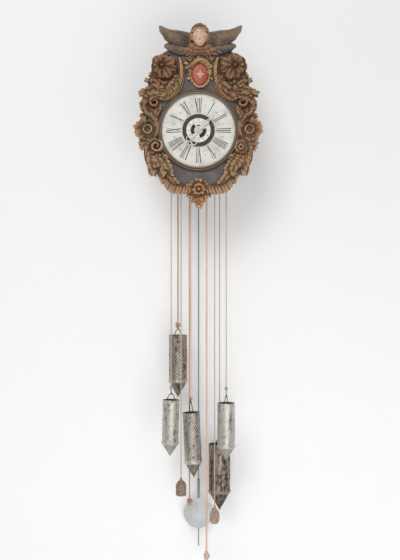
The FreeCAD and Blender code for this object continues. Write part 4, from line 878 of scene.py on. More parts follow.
SWELLS: dict[Form, list[Point]] = {
    Form.LOBE: [(0, 0.45), (0.3, 0.85), (0.6, 1), (0.85, 0.7), (1, 0.1)],
    Form.PETAL: [(0, 0.35), (0.45, 0.8), (0.8, 1), (0.95, 0.8), (1, 0.45)],
    Form.RIB: [(0, 0.8), (0.5, 1), (0.9, 0.6), (1, 0.2)],
    Form.BAND: [(0, 0.55), (0.2, 1), (0.7, 0.95), (1, 0.5)],
    Form.FEATHER: [(0, 0.8), (0.4, 1), (0.75, 0.86), (0.92, 0.6), (1, 0.2)],
    Form.SPOON: [(0, 0.3), (0.35, 0.78), (0.7, 1), (0.88, 0.86), (1, 0.4)],
}


def sketch(*spots: Point) -> list[np.ndarray]:
    """Places on the carver's drawing, in its steps right and down, as places on the shield."""
    return [np.array([DRAWING_STEP * across + DRAWING_LEFT, DRAWING_TOP - DRAWING_STEP * down])
            for across, down in spots]


@dataclass
class Carving:
    """One carved lobe, petal, rib, band, feather or spoon that lies along a line on the shield.

    Lines are in millimetres across and up; heights stand out from the shield's face towards the viewer.
    """

    line: Line
    half_width: float
    height: float
    form: Form
    base: float = 0.0
    lift: float = 0.0
    rows: int = 16
    columns: int = 10
    seed: int = 1

    BACKS: ClassVar[Iterator[int]] = itertools.count()

    def profile(self, u: np.ndarray, v: np.ndarray) -> np.ndarray:
        """Height as a share, along u from 0 to 1 and across v from -1 to 1."""
        side = np.abs(v)
        if self.form is Form.LOBE:
            body = 0.3 + 0.7 * np.sqrt(np.clip(1 - side ** 2.4, 0, 1))
            crease = 0.26 * np.exp(-(v / 0.2) ** 2) + 0.06 * np.cos(4 * np.pi * v)
            return (body - crease) * (0.4 + 0.6 * np.sin(np.pi * (0.1 + 0.6 * u)))
        if self.form is Form.PETAL:
            folds = 0.15 * np.cos(5 * np.pi * v) * np.sqrt(u)
            return 0.4 + 0.45 * np.sin(np.pi * (0.08 + 0.66 * u)) + folds - 0.35 * side ** 5
        if self.form is Form.RIB:
            return 0.25 + 0.75 * np.sqrt(np.clip(1 - side ** 2, 0, 1))
        if self.form is Form.BAND:
            groove = 0.3 * np.exp(-((side - 0.64) / 0.13) ** 2)
            share = np.clip(1.5 - 2 * side, 0, 1) * np.clip(0.2 + 1.6 * u, 0, 1)
            cable = 0.12 * np.cos(2 * np.pi * (self.rows / 6 * u + 0.9 * v)) * share
            return 0.95 - 0.15 * side ** 2 - groove + cable - 0.3 * side ** 8
        if self.form is Form.SPOON:
            crease = 0.16 * np.exp(-(v / 0.14) ** 2) * (1 - u)
            veins = 0.06 * np.cos(6 * np.pi * v) * np.sqrt(u)
            bowl = 0.34 + 0.42 * np.sin(np.pi * (0.1 + 0.62 * u)) + 0.34 * side ** 2
            return bowl + veins - crease - 0.42 * side ** 8
        rachis = 0.16 * np.exp(-(v / 0.12) ** 2)
        barbs = 0.05 * np.cos(2 * np.pi * (7 * u - 1.0 * side))
        return 0.6 + 0.3 * (1 - side ** 2) + rachis + barbs * np.minimum(1, 3 * side) - 0.2 * side ** 4

    def build(self, mirror: bool = False) -> Piece:
        """Model the carving from a grid.

        Args:
            mirror: Put it on the other side of the clock's middle.

        Returns:
            A mesh whose edges run down into the shield's face, each carving's to its own depth, so that
            few backs share a plane.
        """
        obj = grid(self.columns, self.rows)
        rows, columns = self.rows + 1, self.columns + 1
        along = np.clip((np.arange(rows) - 1) / (rows - 3), 0, 1)
        across = np.clip((np.arange(columns) - 1) / (columns - 3), 0, 1) * 2 - 1
        line = smooth_line(self.line, FINE)
        steps = np.linspace(0, 1, FINE)
        spot = sampled(line, steps, along)
        way = sampled(np.gradient(line, axis=0), steps, along)
        way /= np.linalg.norm(way, axis=1)[:, None]
        normal = np.column_stack([way[:, 1], -way[:, 0]])
        u, v = np.meshgrid(along, across, indexing="ij")
        swell = np.interp(along, *zip(*SWELLS[self.form]))
        width = v * (self.half_width * swell)[:, None]
        flat = spot[:, None, :] + normal[:, None, :] * width[..., None]
        if self.form is Form.PETAL:
            scallop = 0.09 * self.half_width * np.cos(5 * np.pi * v) - 0.3 * self.half_width * v ** 4
            flat = flat + way[:, None, :] * (scallop * u ** 3)[..., None]
        steep = self.height * (0.5 + 0.5 * np.sqrt(swell))[:, None]
        dents = np.array([noise.noise(Vector((x * 0.2 + self.seed, z * 0.2, self.seed * 1.7)))
                          for x, z in flat.reshape(-1, 2)]).reshape(rows, columns)
        out = self.base + self.profile(u, v) * steep + self.lift * u + 0.7 * dents
        out = np.maximum(out, 0.3)
        edge = np.zeros((rows, columns), bool)
        edge[[0, -1], :] = True
        edge[:, [0, -1]] = True
        out = np.where(edge, -BACK_STEP * (next(Carving.BACKS) % BACK_STEPS), out)
        sign = -1 if mirror else 1
        points = np.column_stack([sign * flat[..., 0].ravel(), SHIELD_FACE - out.ravel(),
                                  flat[..., 1].ravel()])
        set_coords(obj.data, points * MM)
        facing = sum(face.normal.y * face.area for face in obj.data.polygons)
        if facing > 0:
            obj.data.flip_normals()
        return obj


def turned(way: np.ndarray, degrees: float) -> np.ndarray:
    """A direction turned anticlockwise."""
    turn = math.radians(degrees)
    return np.array([way[0] * math.cos(turn) - way[1] * math.sin(turn),
                     way[0] * math.sin(turn) + way[1] * math.cos(turn)])


@dataclass
class Leaf:
    """An acanthus leaf: overlapping lobes on both sides of a bent midrib."""

    line: Line
    half_width: float
    height: float
    base: float
    arch: float = 4.0
    seed: int = 1

    def parts(self) -> list[Carving]:
        """The leaf's lobes, its tip and its midrib."""
        rng = random.Random(self.seed)
        line = smooth_line(self.line, FINE)
        ways = np.gradient(line, axis=0)
        run = np.linalg.norm(np.diff(line, axis=0), axis=1).sum()
        count = max(3, round(run / (0.72 * self.half_width)))
        made = [Carving(self.line, 0.5 * self.half_width, 0.5 * self.height, Form.LOBE, self.base, rows=24)]
        for index in range(count):
            share = (index + 0.3) / (count + 0.4)
            at = line[int(share * (FINE - 1))]
            way = ways[int(share * (FINE - 1))]
            way = way / np.linalg.norm(way)
            grow = float(np.interp(share, (0, 0.35, 0.75, 1), (0.75, 1, 0.8, 0.5)))
            up = self.base + self.arch * math.sin(math.pi * min(1, 0.15 + share)) + rng.uniform(-0.8, 0.8)
            for side in (-1, 1):
                out = turned(way, side * (50 - 22 * share + rng.uniform(-8, 8)))
                reach = self.half_width * grow * rng.uniform(1.1, 1.45)
                bend = at + out * 0.55 * reach
                end = bend + turned(out, -side * 18) * 0.55 * reach
                made.append(Carving(
                    [at - out, bend, end], 0.36 * self.half_width * grow,
                    self.height * rng.uniform(0.62, 0.9), Form.LOBE, up, rng.uniform(-1.5, 2.5),
                    seed=rng.randrange(99)))
        tip = line[44:].tolist()[::6] + [line[-1].tolist()]
        made.append(Carving(tip, 0.42 * self.half_width, 0.85 * self.height, Form.LOBE,
                            self.base + 0.5 * self.arch, 2.0, seed=self.seed))
        made.append(Carving(self.line, 0.15 * self.half_width, 0.75 * self.height, Form.RIB,
                            self.base + 0.7 * self.arch, rows=28, columns=8))
        return made


def volute(centre: np.ndarray, start: float, turns: float, outer: float, inner: float,
           half_width: float, height: float, base: float = 0.0) -> Carving:
    """A band that winds in on itself, clockwise for positive turns."""
    line = []
    for share in np.linspace(0, 1, 15):
        turn = math.radians(start + 360 * turns * share)
        reach = outer + (inner - outer) * share
        line.append((centre[0] + reach * math.sin(turn), centre[1] + reach * math.cos(turn)))
    return Carving(line, half_width, height, Form.BAND, base, lift=3.0, rows=56, columns=12)


def fan(centre: np.ndarray, start: float, end: float, count: int, inner: float, outer: float,
        height: float, form: Form, base: float, lift: float, seed: int, flare: float = 0.0,
        spread: float = 0.95) -> list[Carving]:
    """Carvings that spread from a centre between two clock angles, each a little unlike the next."""
    rng = random.Random(seed)
    made = []
    step = (end - start) / count
    for index in range(count):
        turn = math.radians(start + (index + 0.5) * step + rng.uniform(-0.12, 0.12) * step)
        way = heading(turn)
        reach = outer * (1 + flare * abs(2 * (index + 0.5) / count - 1)) * rng.uniform(0.92, 1.06)
        half = math.tan(math.radians(min(abs(step), 80)) / 2) * spread * reach
        made.append(Carving(spoke(centre, way, inner, reach), half, height, form,
                            base + rng.uniform(-0.8, 0.8), lift, rows=18, columns=14, seed=index + seed))
    return made


def dome(centre: Sequence[float], radius: float, height: float, base: float = 0.0) -> Piece:
    """A round carved boss with a dimple and a few cuts."""
    obj = ball(28, 16)
    points = coords(obj.data)
    turn = np.arctan2(points[:, 1], points[:, 0])
    wide = np.hypot(points[:, 0], points[:, 1])
    cuts = 1 - 0.12 * np.cos(7 * turn) ** 8 * wide
    tall = points[:, 2] * (1 - 0.35 * np.exp(-(wide / 0.28) ** 2))
    moved = np.column_stack([
        centre[0] + radius * points[:, 0] * cuts,
        SHIELD_FACE - base - np.maximum(tall, 0) * height * cuts,
        centre[1] + radius * points[:, 1] * cuts])
    set_coords(obj.data, moved * MM)
    in_edit(obj, lambda: weld(0.02), face_out)
    return obj


def carved_piece(name: str, left: Iterable[Carving], right: Iterable[Carving] = (),
                 extras: Iterable[Piece] = ()) -> Piece:
    """Model carvings and make them one piece.

    Args:
        name: The piece's name.
        left: What is carved on the left or in the middle.
        right: What is carved as a mirror image.
        extras: Meshes that belong to it.

    Returns:
        The piece, closed at the back and smooth.
    """
    objects = list(extras)
    objects += [carving.build() for carving in left]
    objects += [carving.build(mirror=True) for carving in right]
    piece = joined(objects, name)
    in_edit(piece, lambda: bpy.ops.mesh.fill_holes(sides=0))
    soften(piece, 55)
    return piece


@dataclass
class Foliage:
    """The garland carved on one side of the shield, or its mirror image with small changes."""

    mirror: bool

    # Each petal's clock angle, reach and half width.
    PETALS: ClassVar[tuple[Triple, ...]] = (
        (19, 25, 11.5), (68, 32, 10), (107, 35, 8.5), (146, 35, 9.5), (179, 32, 9.5), (214, 24, 8),
        (282, 20, 9), (326, 23, 9))
    # Each leaf's half width, height, base and places on the drawing.
    SPRAYS: ClassVar[Rows] = (
        (12, 9, 3, (385, 470), (345, 545), (290, 600), (240, 640)),
        (11, 9, 1, (330, 560), (260, 545), (190, 525), (115, 500)),
        (14, 10, 2, (310, 600), (230, 585), (150, 590), (66, 622)),
        (12, 9, 3, (270, 640), (200, 630), (140, 650), (105, 700)),
        (9, 8, 4, (250, 570), (205, 540), (160, 505)),
        (8, 8, 1, (240, 510), (195, 480), (150, 462)),
        (8, 8, 1, (330, 520), (350, 470), (345, 420)))
    STEM_LEAVES: ClassVar[Rows] = (
        (9, 8, 2, (225, 690), (215, 745), (190, 790)),
        (8, 8, 3, (128, 650), (100, 690), (95, 740)),
        (8, 8, 2, (150, 720), (180, 770), (200, 830), (195, 880)),
        (7, 7, 1, (125, 770), (100, 785), (85, 800)))
    SMALL_LEAVES: ClassVar[Rows] = (
        (9, 7, 0, (190, 940), (140, 948), (92, 965)),
        (8, 7, 1, (150, 985), (110, 990), (70, 1008)),
        (8, 7, 1, (150, 1010), (115, 1025), (85, 1045)),
        (7, 7, 2, (170, 960), (150, 985), (128, 1005)))
    LONG_LEAVES: ClassVar[Rows] = (
        (12, 10, 2, (165, 1060), (165, 1130), (178, 1190), (185, 1258)),
        (12, 10, 3, (205, 1085), (225, 1140), (255, 1190), (270, 1265)),
        (10, 9, 2, (235, 1110), (275, 1150), (310, 1200), (335, 1250)),
        (9, 8, 1, (235, 1090), (262, 1110), (295, 1150)),
        (8, 8, 1, (150, 1160), (160, 1210), (165, 1250)),
        (9, 8, 2, (225, 1235), (245, 1270), (258, 1310)),
        (9, 8, 2, (280, 1225), (320, 1265), (350, 1300), (392, 1318)))

    def leaves(self, rows: Rows) -> list[Carving]:
        """Leaves along places on the drawing.

        Args:
            rows: For each leaf its half width, its height, its base and its places.

        Returns:
            All their carvings.
        """
        made = []
        for half_width, height, base, *spots in rows:
            seed = int(sum(across + down for across, down in spots)) + 31 * self.mirror
            made += Leaf(sketch(*spots), half_width, height, base, seed=seed).parts()
        return made

    def band(self, half_width: float, height: float, *spots: Point) -> Carving:
        """A channelled scroll along places on the drawing."""
        return Carving(sketch(*spots), half_width, height, Form.BAND, rows=110, columns=20)

    def flower(self) -> tuple[list[Carving], np.ndarray]:
        """The broad bloom: hollowed petals, longest on the inner side, over a ring of shorter ones."""
        grow = 1.05 if self.mirror else 1.0
        seed = 11 if self.mirror else 4
        eye, under = sketch((250, 390), (268, 402))
        petals = fan(under, 8, 368, count=9, inner=5, outer=32 * grow, height=9, form=Form.SPOON,
                     base=0.5, lift=1, seed=seed)
        for index, (angle, reach, half_width) in enumerate(self.PETALS):
            way = heading(math.radians(angle + (6 if self.mirror else 0)))
            line = [eye + way * 2.5, eye + way * 0.55 * reach, eye + way * reach * grow]
            petals.append(Carving(line, half_width, 13, Form.SPOON, base=2 + 1.6 * (index % 2), lift=2,
                                  rows=22, columns=14, seed=seed + index))
        return petals, eye

    def shell(self) -> tuple[list[Carving], np.ndarray]:
        """The fan shell with a ring round its dark eye."""
        eye = sketch((137, 892))[0]
        ribs = fan(eye, -152, -8, count=7, inner=9, outer=33, height=10, form=Form.PETAL,
                   base=1, lift=2, seed=5 + self.mirror, flare=-0.1)
        ring = volute(eye, 0, turns=1.02, outer=9.5, inner=9.5, half_width=3.6, height=11)
        return ribs + [ring], eye

    def upper(self) -> list[Carving]:
        """The scroll beside the cartouche, the leaf sprays, the outer stem and the horseshoe."""
        return [
            self.band(8.5, 11, (385, 330), (402, 400), (400, 490), (372, 575), (310, 640), (240, 668)),
            *self.leaves(self.SPRAYS),
            volute(sketch((192, 682))[0], 40, turns=-1.3, outer=13, inner=3, half_width=4.2, height=10,
                   base=3),
            self.band(8.5, 11, (112, 640), (108, 700), (128, 760), (170, 790), (205, 840), (212, 900),
                      (190, 962)),
            *self.leaves(self.STEM_LEAVES),
            self.band(5.0, 9, (120, 840), (155, 822), (180, 855), (178, 925), (140, 960), (100, 955))]

    def curl(self) -> list[Carving]:
        """The lower volute on the left, or the rosette in its place on the right."""
        if not self.mirror:
            centre = sketch((205, 1025))[0]
            return [volute(centre, 20, turns=1.4, outer=15, inner=3, half_width=4.6, height=11, base=2)]
        centre = sketch((203, 1035))[0]
        return (fan(centre, 10, 370, count=7, inner=2, outer=16, height=12, form=Form.PETAL, base=3, lift=1,
                    seed=8)
                + fan(centre, 40, 400, count=5, inner=1, outer=8, height=9, form=Form.LOBE, base=9,
                      lift=1, seed=9, spread=0.8))

    def lower(self) -> list[Carving]:
        """The lower volute or rosette, its small leaves and the long leaves down to the gadroons."""
        return [
            *self.leaves(self.SMALL_LEAVES),
            self.band(6.5, 10, (240, 985), (180, 975), (140, 1010), (128, 1080), (140, 1150), (172, 1215)),
            *self.curl(),
            *self.leaves(self.LONG_LEAVES)]

    def gadroons(self) -> list[Carving]:
        """A curled horn beside the pendant, fluted across."""
        flutes = 9
        upper = smooth_line(sketch((285, 1262), (325, 1300), (372, 1322), (472, 1338)), flutes + 1)
        lower = smooth_line(sketch((258, 1312), (282, 1362), (340, 1398), (466, 1404)), flutes + 1)
        made = []
        for index in range(flutes):
            start = upper[index] * 0.5 + upper[index + 1] * 0.5
            end = lower[index] * 0.6 + lower[index + 1] * 0.4
            line = [start, (start + end) / 2 + (1.5, 1.0), end]
            made.append(Carving(line, 5.0, 11, Form.SPOON, base=2 + 0.8 * (index % 2), lift=0.5, rows=18,
                                columns=12, seed=index))
        made.append(self.band(3.6, 8, (285, 1262), (325, 1296), (372, 1318), (452, 1334)))
        return made


def carve_garland() -> list[Piece]:
    """Model the garland on both sides, one piece for each CAD node."""
    sides = (Foliage(False), Foliage(True))
    pieces = []
    for name, node, finish, carve, boss in (
            ("flower_blooms", "flower_carvings", BLOOM_GILT, Foliage.flower, (4.2, 7, 9)),
            ("fan_shells", "shell_carvings", BRIGHT_GILT, Foliage.shell, (10.5, 1.5))):
        halves, bosses = [], []
        for side in sides:
            made, centre = carve(side)
            halves.append(made)
            bosses.append(dome(centre * (-1 if side.mirror else 1, 1), *boss))
        pieces.append(shown(carved_piece(name, *halves, bosses), "case", finish, "carving", node))
    for name, node, finish, carve in (
            ("upper_leaves", "upper_foliage", GILT, Foliage.upper),
            ("lower_leaves", "lower_foliage", BRIGHT_GILT, Foliage.lower),
            ("gadroon_shells", "gadroon_carvings", MOSSY_GILT, Foliage.gadroons)):
        halves = [carve(side) for side in sides]
        pieces.append(shown(carved_piece(name, *halves), "case", finish, "carving", node))
    return pieces


@dataclass
class Pendant:
    """The rosette and hanging leaves at the shield's foot."""

    centre: Point = (540, 1365)

    # Each leaf's half width and places on the drawing.
    LEAVES: ClassVar[Rows] = (
        (12, (540, 1395), (540, 1450), (540, 1510)), (9, (500, 1375), (475, 1400), (462, 1425)),
        (9, (580, 1375), (605, 1400), (615, 1425)), (8, (500, 1350), (470, 1345), (448, 1350)),
        (8, (580, 1350), (605, 1340), (622, 1350)), (9, (540, 1330), (538, 1305), (530, 1288)),
        (7, (510, 1335), (490, 1320), (478, 1312)), (7, (570, 1335), (592, 1320), (600, 1312)),
        (8, (515, 1400), (500, 1435), (495, 1465)), (8, (565, 1400), (580, 1435), (585, 1465)))

    def build(self) -> Piece:
        """Model the pendant."""
        made = []
        for half, *spots in self.LEAVES:
            made += Leaf(sketch(*spots), half, height=9, base=1, arch=3, seed=spots[-1][0]).parts()
        centre = sketch(self.centre)[0]
        made += fan(centre, 0, 360, count=6, inner=4, outer=13, height=12, form=Form.PETAL, base=3, lift=2,
                    seed=2)
        piece = carved_piece("pendant_rosette", made, (), [dome(centre, 5, 10, 6)])
        return shown(piece, "case", LIT_PENDANT_GILT, "carving", "pendant_leaf")


@dataclass
class Cartouche:
    """The red field in its leafy frame."""

    field_at: Point = (550, 462)
    wide: float = 21.5
    high: float = 27.5
    lobes: int = 22

    # Each leaf's half width and places on the drawing.
    LEAVES: ClassVar[Rows] = (
        (7, (520, 350), (490, 340), (450, 345)), (7, (580, 350), (610, 340), (652, 345)),
        (8, (550, 365), (550, 340), (550, 318)), (10, (492, 396), (458, 392), (424, 418)),
        (10, (608, 394), (642, 390), (672, 418)), (6, (497, 440), (462, 440), (436, 428)),
        (6, (604, 440), (640, 440), (664, 428)))

    def field(self) -> Piece:
        """A swelling oval with a drawn-out foot."""
        centre = sketch(self.field_at)[0]
        obj = dome((0, 0), 1, 1)
        points = coords(obj.data) / MM
        up = points[:, 2]
        share = np.where(up < 0, 1 - 0.2 * np.abs(up) ** 2, 1.0)
        moved = np.column_stack([
            centre[0] + points[:, 0] * self.wide * share,
            SHIELD_FACE - 2.0 + (points[:, 1] - SHIELD_FACE) * 6.5,
            centre[1] + up * self.high])
        set_coords(obj.data, moved * MM)
        soften(obj, 60)
        obj.name = "cartouche_field"
        return obj

    def flower(self, centre: np.ndarray) -> list[Carving]:
        """Four small petals on the field."""
        made = []
        for angle in (0, 90, 180, 270):
            way = turned(np.array([0.0, 1.0]), angle)
            line = [centre + way * start for start in (1.6, 4.5, 8.5)]
            made.append(Carving(line, 2.3, 1.4, Form.RIB, base=7.4, lift=-0.6, rows=12, columns=8))
        return made

    def leaves(self, centre: np.ndarray) -> list[Carving]:
        """Lobes all round the field, leaves at its head and the rail between."""
        made = []
        for index in range(self.lobes):
            way = heading(2 * math.pi * (index + 0.5) / self.lobes)
            crown = max(0.0, way[1]) ** 1.5
            side = abs(way[0]) ** 3 * (0.5 + 0.5 * math.cos(index * 2.1))
            start = centre + way * (self.wide - 1.0, self.high - 1.0) * (1 - 0.12 * max(0.0, -way[1]), 1)
            end = start + way * (5.5 + 8 * crown + 8 * side)
            made.append(Carving([start, (start + end) / 2, end], 4.0 + 1.8 * crown, 7 + 2 * crown,
                                Form.LOBE, base=1, lift=2, seed=index))
        for half, *spots in self.LEAVES:
            made += Leaf(sketch(*spots), half, height=7, base=1, arch=2, seed=spots[0][0]).parts()
        rail = []
        for share in np.linspace(0, 1, 33):
            turn = 2 * math.pi * share
            foot = 1 - 0.2 * max(0.0, -math.cos(turn)) ** 2
            rail.append((centre[0] + self.wide * 1.03 * foot * math.sin(turn),
                         centre[1] + self.high * 1.03 * math.cos(turn)))
        return made + [Carving(rail, 1.8, 8, Form.RIB, base=0.5, rows=96, columns=8)]

    def build(self) -> Piece:
        """Model the field, its flower and the frame's leaves."""
        shown(self.field(), "case", RED_PAINT, "red_paint", "cartouche_boss")
        centre = sketch(self.field_at)[0]
        shown(carved_piece("cartouche_flower", self.flower(centre)), "case", PALE_PAINT, "red_paint")
        frame_leaves = carved_piece("cartouche_leaves", self.leaves(centre))
        return shown(frame_leaves, "case", FRAME_GREEN, "frame_green", "cartouche_frame")


@dataclass
class Hand:
    """A flat hand: a stem, a point and rings, each with its place across and out and its radius."""

    name: str
    angle: float
    plane: float
    stem: float
    length: float
    hub: float
    rings: tuple[Triple, ...]
    cap: float = 0.0
    thick: float = 1.2

    def ring(self, across: float, out: float, radius: float, width: float) -> Piece:
        """One flattened ring."""
        obj = added(bpy.ops.mesh.primitive_torus_add, major_radius=radius, minor_radius=width,
                    major_segments=32, minor_segments=10)
        points = coords(obj.data)
        set_coords(obj.data, np.column_stack([points[:, 0] + across, points[:, 1] + out,
                                              points[:, 2] * 0.5 * self.thick / width]))
        return obj

    def bar(self, start: float, end: float, first: float, last: float) -> Piece:
        """A tapering bar with rounded edges along the hand."""
        obj = added(bpy.ops.mesh.primitive_cube_add, size=1)
        points = coords(obj.data)
        along = points[:, 1] + 0.5
        set_coords(obj.data, np.column_stack([points[:, 0] * (first + (last - first) * along),
                                              start + (end - start) * along, points[:, 2] * self.thick]))
        applied(obj, "BEVEL", width=0.25, segments=2)
        return obj

    def build(self) -> Piece:
        """Model the hand upright and turn it to its hour."""
        tip = max(out + radius for _, out, radius in self.rings)
        parts = [self.ring(across, out, radius - 0.9, 0.95) for across, out, radius in self.rings]
        parts += [self.ring(0, 0, radius, 0.8) for radius in np.arange(2.2, self.hub, 2.4)]
        parts.append(self.ring(0, 0, 0.62 * self.hub, 0.36 * self.hub))
        parts.append(self.bar(0.6 * self.hub, self.stem + 8, 4.2, 2.4))
        parts.append(self.bar(tip - 2, self.length, 3.4, 0.7))
        if self.cap:
            cap = ball(24, 12)
            set_coords(cap.data, coords(cap.data) * (self.cap, self.cap, 0.75 * self.cap))
            parts.append(cap)
        piece = joined(parts, f"{self.name}_openwork_hand")
        across, out, rise = coords(piece.data).T
        set_coords(piece.data, on_dial(across, out, self.plane - rise, math.radians(self.angle)))
        in_edit(piece, face_out)
        soften(piece, 50)
        return piece


HANDS = (
    Hand("hour", angle=214, plane=-185.3, stem=17, length=45.5, hub=9.6, rings=(
        (-7.6, 29.5, 6.6), (7.6, 29.5, 6.6), (0, 37.5, 5.2), (0, 26, 3.0), (-8.5, 38, 2.6),
        (8.5, 38, 2.6))),
    Hand("minute", angle=47, plane=-188.3, stem=21, length=46, hub=5.4, cap=3.9, rings=(
        (-3.4, 27, 3.0), (3.4, 27, 3.0), (0, 33.5, 3.6))),
)


@dataclass
class Dial:
    """Roman hours, dots, the alarm disc with its figures, and the hands, in millimetres."""

    inner: float = 41.5
    outer: float = 76.0
    taper: float = 0.72
    relief: float = 0.18
    sunk: float = 0.3
    upright: float = 1.9
    broad: float = 2.2
    thin: float = 0.9
    dot: float = 2.2
    dot_reach: float = 59.0
    figure_size: float = 6.4
    figure_reach: float = 23.4
    disc_thick: float = 1.2

    HOURS: ClassVar[tuple[str, ...]] = (
        "I", "II", "III", "IIII", "V", "VI", "VII", "VIII", "IX", "X", "XI", "XII")
    ROOM: ClassVar[dict[str, float]] = {"I": 4.6, "V": 9.5, "X": 9.5}
    SIDES: ClassVar[int] = 144
    # Radii of the alarm disc's rows of points, and the angles and radii between which it is open.
    RINGS: ClassVar[tuple[float, ...]] = (
        3.2, 6, 8.8, 9.8, 10.8, 11.8, 13.2, 14.6, 16, 17.4, 18.2, 20, 22.5, 25, 27.5, 30, 32, 34, 36,
        37.4, 38)
    WINDOWS: ClassVar[tuple[tuple[float, float, float, float], ...]] = (
        (235, 325, 9.5, 18.0), (75, 170, 9.5, 18.0), (340, 380, 9.5, 12.5), (-1, 22, 9.5, 12.5))

    def stroke(self, top: Point, bottom: Point, width: float, turn: float) -> Piece:
        """One tapered brush stroke on the dial.

        Args:
            top: Its outer end, across and out from the dial's middle.
            bottom: Its inner end.
            width: Its width.
            turn: The hour's clock angle in radians.

        Returns:
            A thin solid.
        """
        obj = added(bpy.ops.mesh.primitive_cube_add, size=1)
        way = np.array(top) - np.array(bottom)
        way /= np.linalg.norm(way)
        side = np.array([way[1], -way[0]])
        x, y, z = coords(obj.data).T
        end = np.where(y[:, None] > 0, top, bottom)
        share = np.where(y > 0, 1.15, 0.85)
        across, out = (end + side * width * share[:, None] * x[:, None]).T
        front = DIAL_FACE + self.sunk - (z + 0.5) * (self.relief + self.sunk)
        set_coords(obj.data, on_dial(across, out, front, turn))
        in_edit(obj, face_out)
        return obj

    def hours(self) -> Piece:
        """All twelve Roman hours and the dots between them."""
        strokes = []
        for index, name in enumerate(self.HOURS, 1):
            turn = math.radians(30 * index)
            start = -sum(self.ROOM[letter] for letter in name) / 2
            for letter in name:
                room = self.ROOM[letter]
                middle, half = start + room / 2, 0.36 * room
                start += room
                low = middle * self.taper
                if letter == "I":
                    strokes.append(self.stroke((middle, self.outer), (low, self.inner), self.upright, turn))
                    continue
                foot = half * self.taper if letter == "X" else 0.0
                for sign, width in ((-1, self.broad), (1, self.thin)):
                    strokes.append(self.stroke((middle + sign * half, self.outer),
                                               (low - sign * foot, self.inner), width, turn))
            strokes.append(self.stroke((-self.dot / 2, self.dot_reach), (self.dot / 2, self.dot_reach),
                                       self.dot, math.radians(30 * index + 15)))
        return joined(strokes, "dial_hours")

    def alarm_figures(self) -> Piece:
        """The figures 1 to 12 on the alarm disc's white ring."""
        made = []
        for index in range(1, 13):
            text = added(bpy.ops.object.text_add)
            text.data.body = str(index)
            text.data.size = self.figure_size * MM
            text.data.align_x = "CENTER"
            text.data.align_y = "CENTER"
            text.data.extrude = 0.08 * MM
            text.select_set(True)
            bpy.ops.object.convert(target="MESH")
            obj = bpy.context.active_object
            across, out, rise = (coords(obj.data) / MM).T
            set_coords(obj.data, on_dial(across, out + self.figure_reach, DISC_FRONT - 0.05 - rise,
                                         math.radians(30 * index)))
            obj.matrix_world = Matrix.Identity(4)
            made.append(obj)
        return joined(made, "alarm_figures")

    def disc(self) -> Piece:
        """The alarm disc, with curved openings round its middle."""
        obj = grid(self.SIDES, len(self.RINGS) - 1)
        turn = np.tile(np.radians(np.linspace(0, 360, self.SIDES + 1)), len(self.RINGS))
        reach = np.repeat(self.RINGS, self.SIDES + 1)
        spots = np.column_stack([reach * np.sin(turn), np.full(len(turn), DISC_FRONT),
                                 DIAL_Z + reach * np.cos(turn)])
        set_coords(obj.data, spots * MM)
        in_edit(obj, lambda: bpy.ops.mesh.select_mode(type="FACE"),
                lambda: bpy.ops.mesh.select_all(action="DESELECT"))
        for face in obj.data.polygons:
            x, _, z = (part / MM for part in face.center)
            out = math.hypot(x, z - DIAL_Z)
            angle = math.degrees(math.atan2(x, z - DIAL_Z)) % 360
            face.select = any(low < angle < high and inner < out < outer
                              for low, high, inner, outer in self.WINDOWS)
        bpy.ops.object.mode_set(mode="EDIT")
        bpy.ops.mesh.delete(type="FACE")
        bpy.ops.mesh.select_all(action="SELECT")
        weld(0.01)
        face_out()
        bpy.ops.object.mode_set(mode="OBJECT")
        if sum(face.normal.y for face in obj.data.polygons) > 0:
            obj.data.flip_normals()
        applied(obj, "SOLIDIFY", thickness=self.disc_thick * MM, offset=-1.0)
        soften(obj, 30)
        obj.name = "alarm_dial_disc"
        return obj

    def build(self) -> None:
        """Model and place the figures, the disc and the hands."""
        shown(self.hours(), "case", INK, "black_metal")
        shown(self.disc(), "alarm_setting", AlarmDiscPaint("alarm_disc_paint"), "dial_paint", "alarm_disc")
        shown(self.alarm_figures(), "alarm_setting", INK, "black_metal")
        for hand in HANDS:
            shown(hand.build(), hand.name, HAND_METAL, "hand_metal", f"{hand.name}_hand")


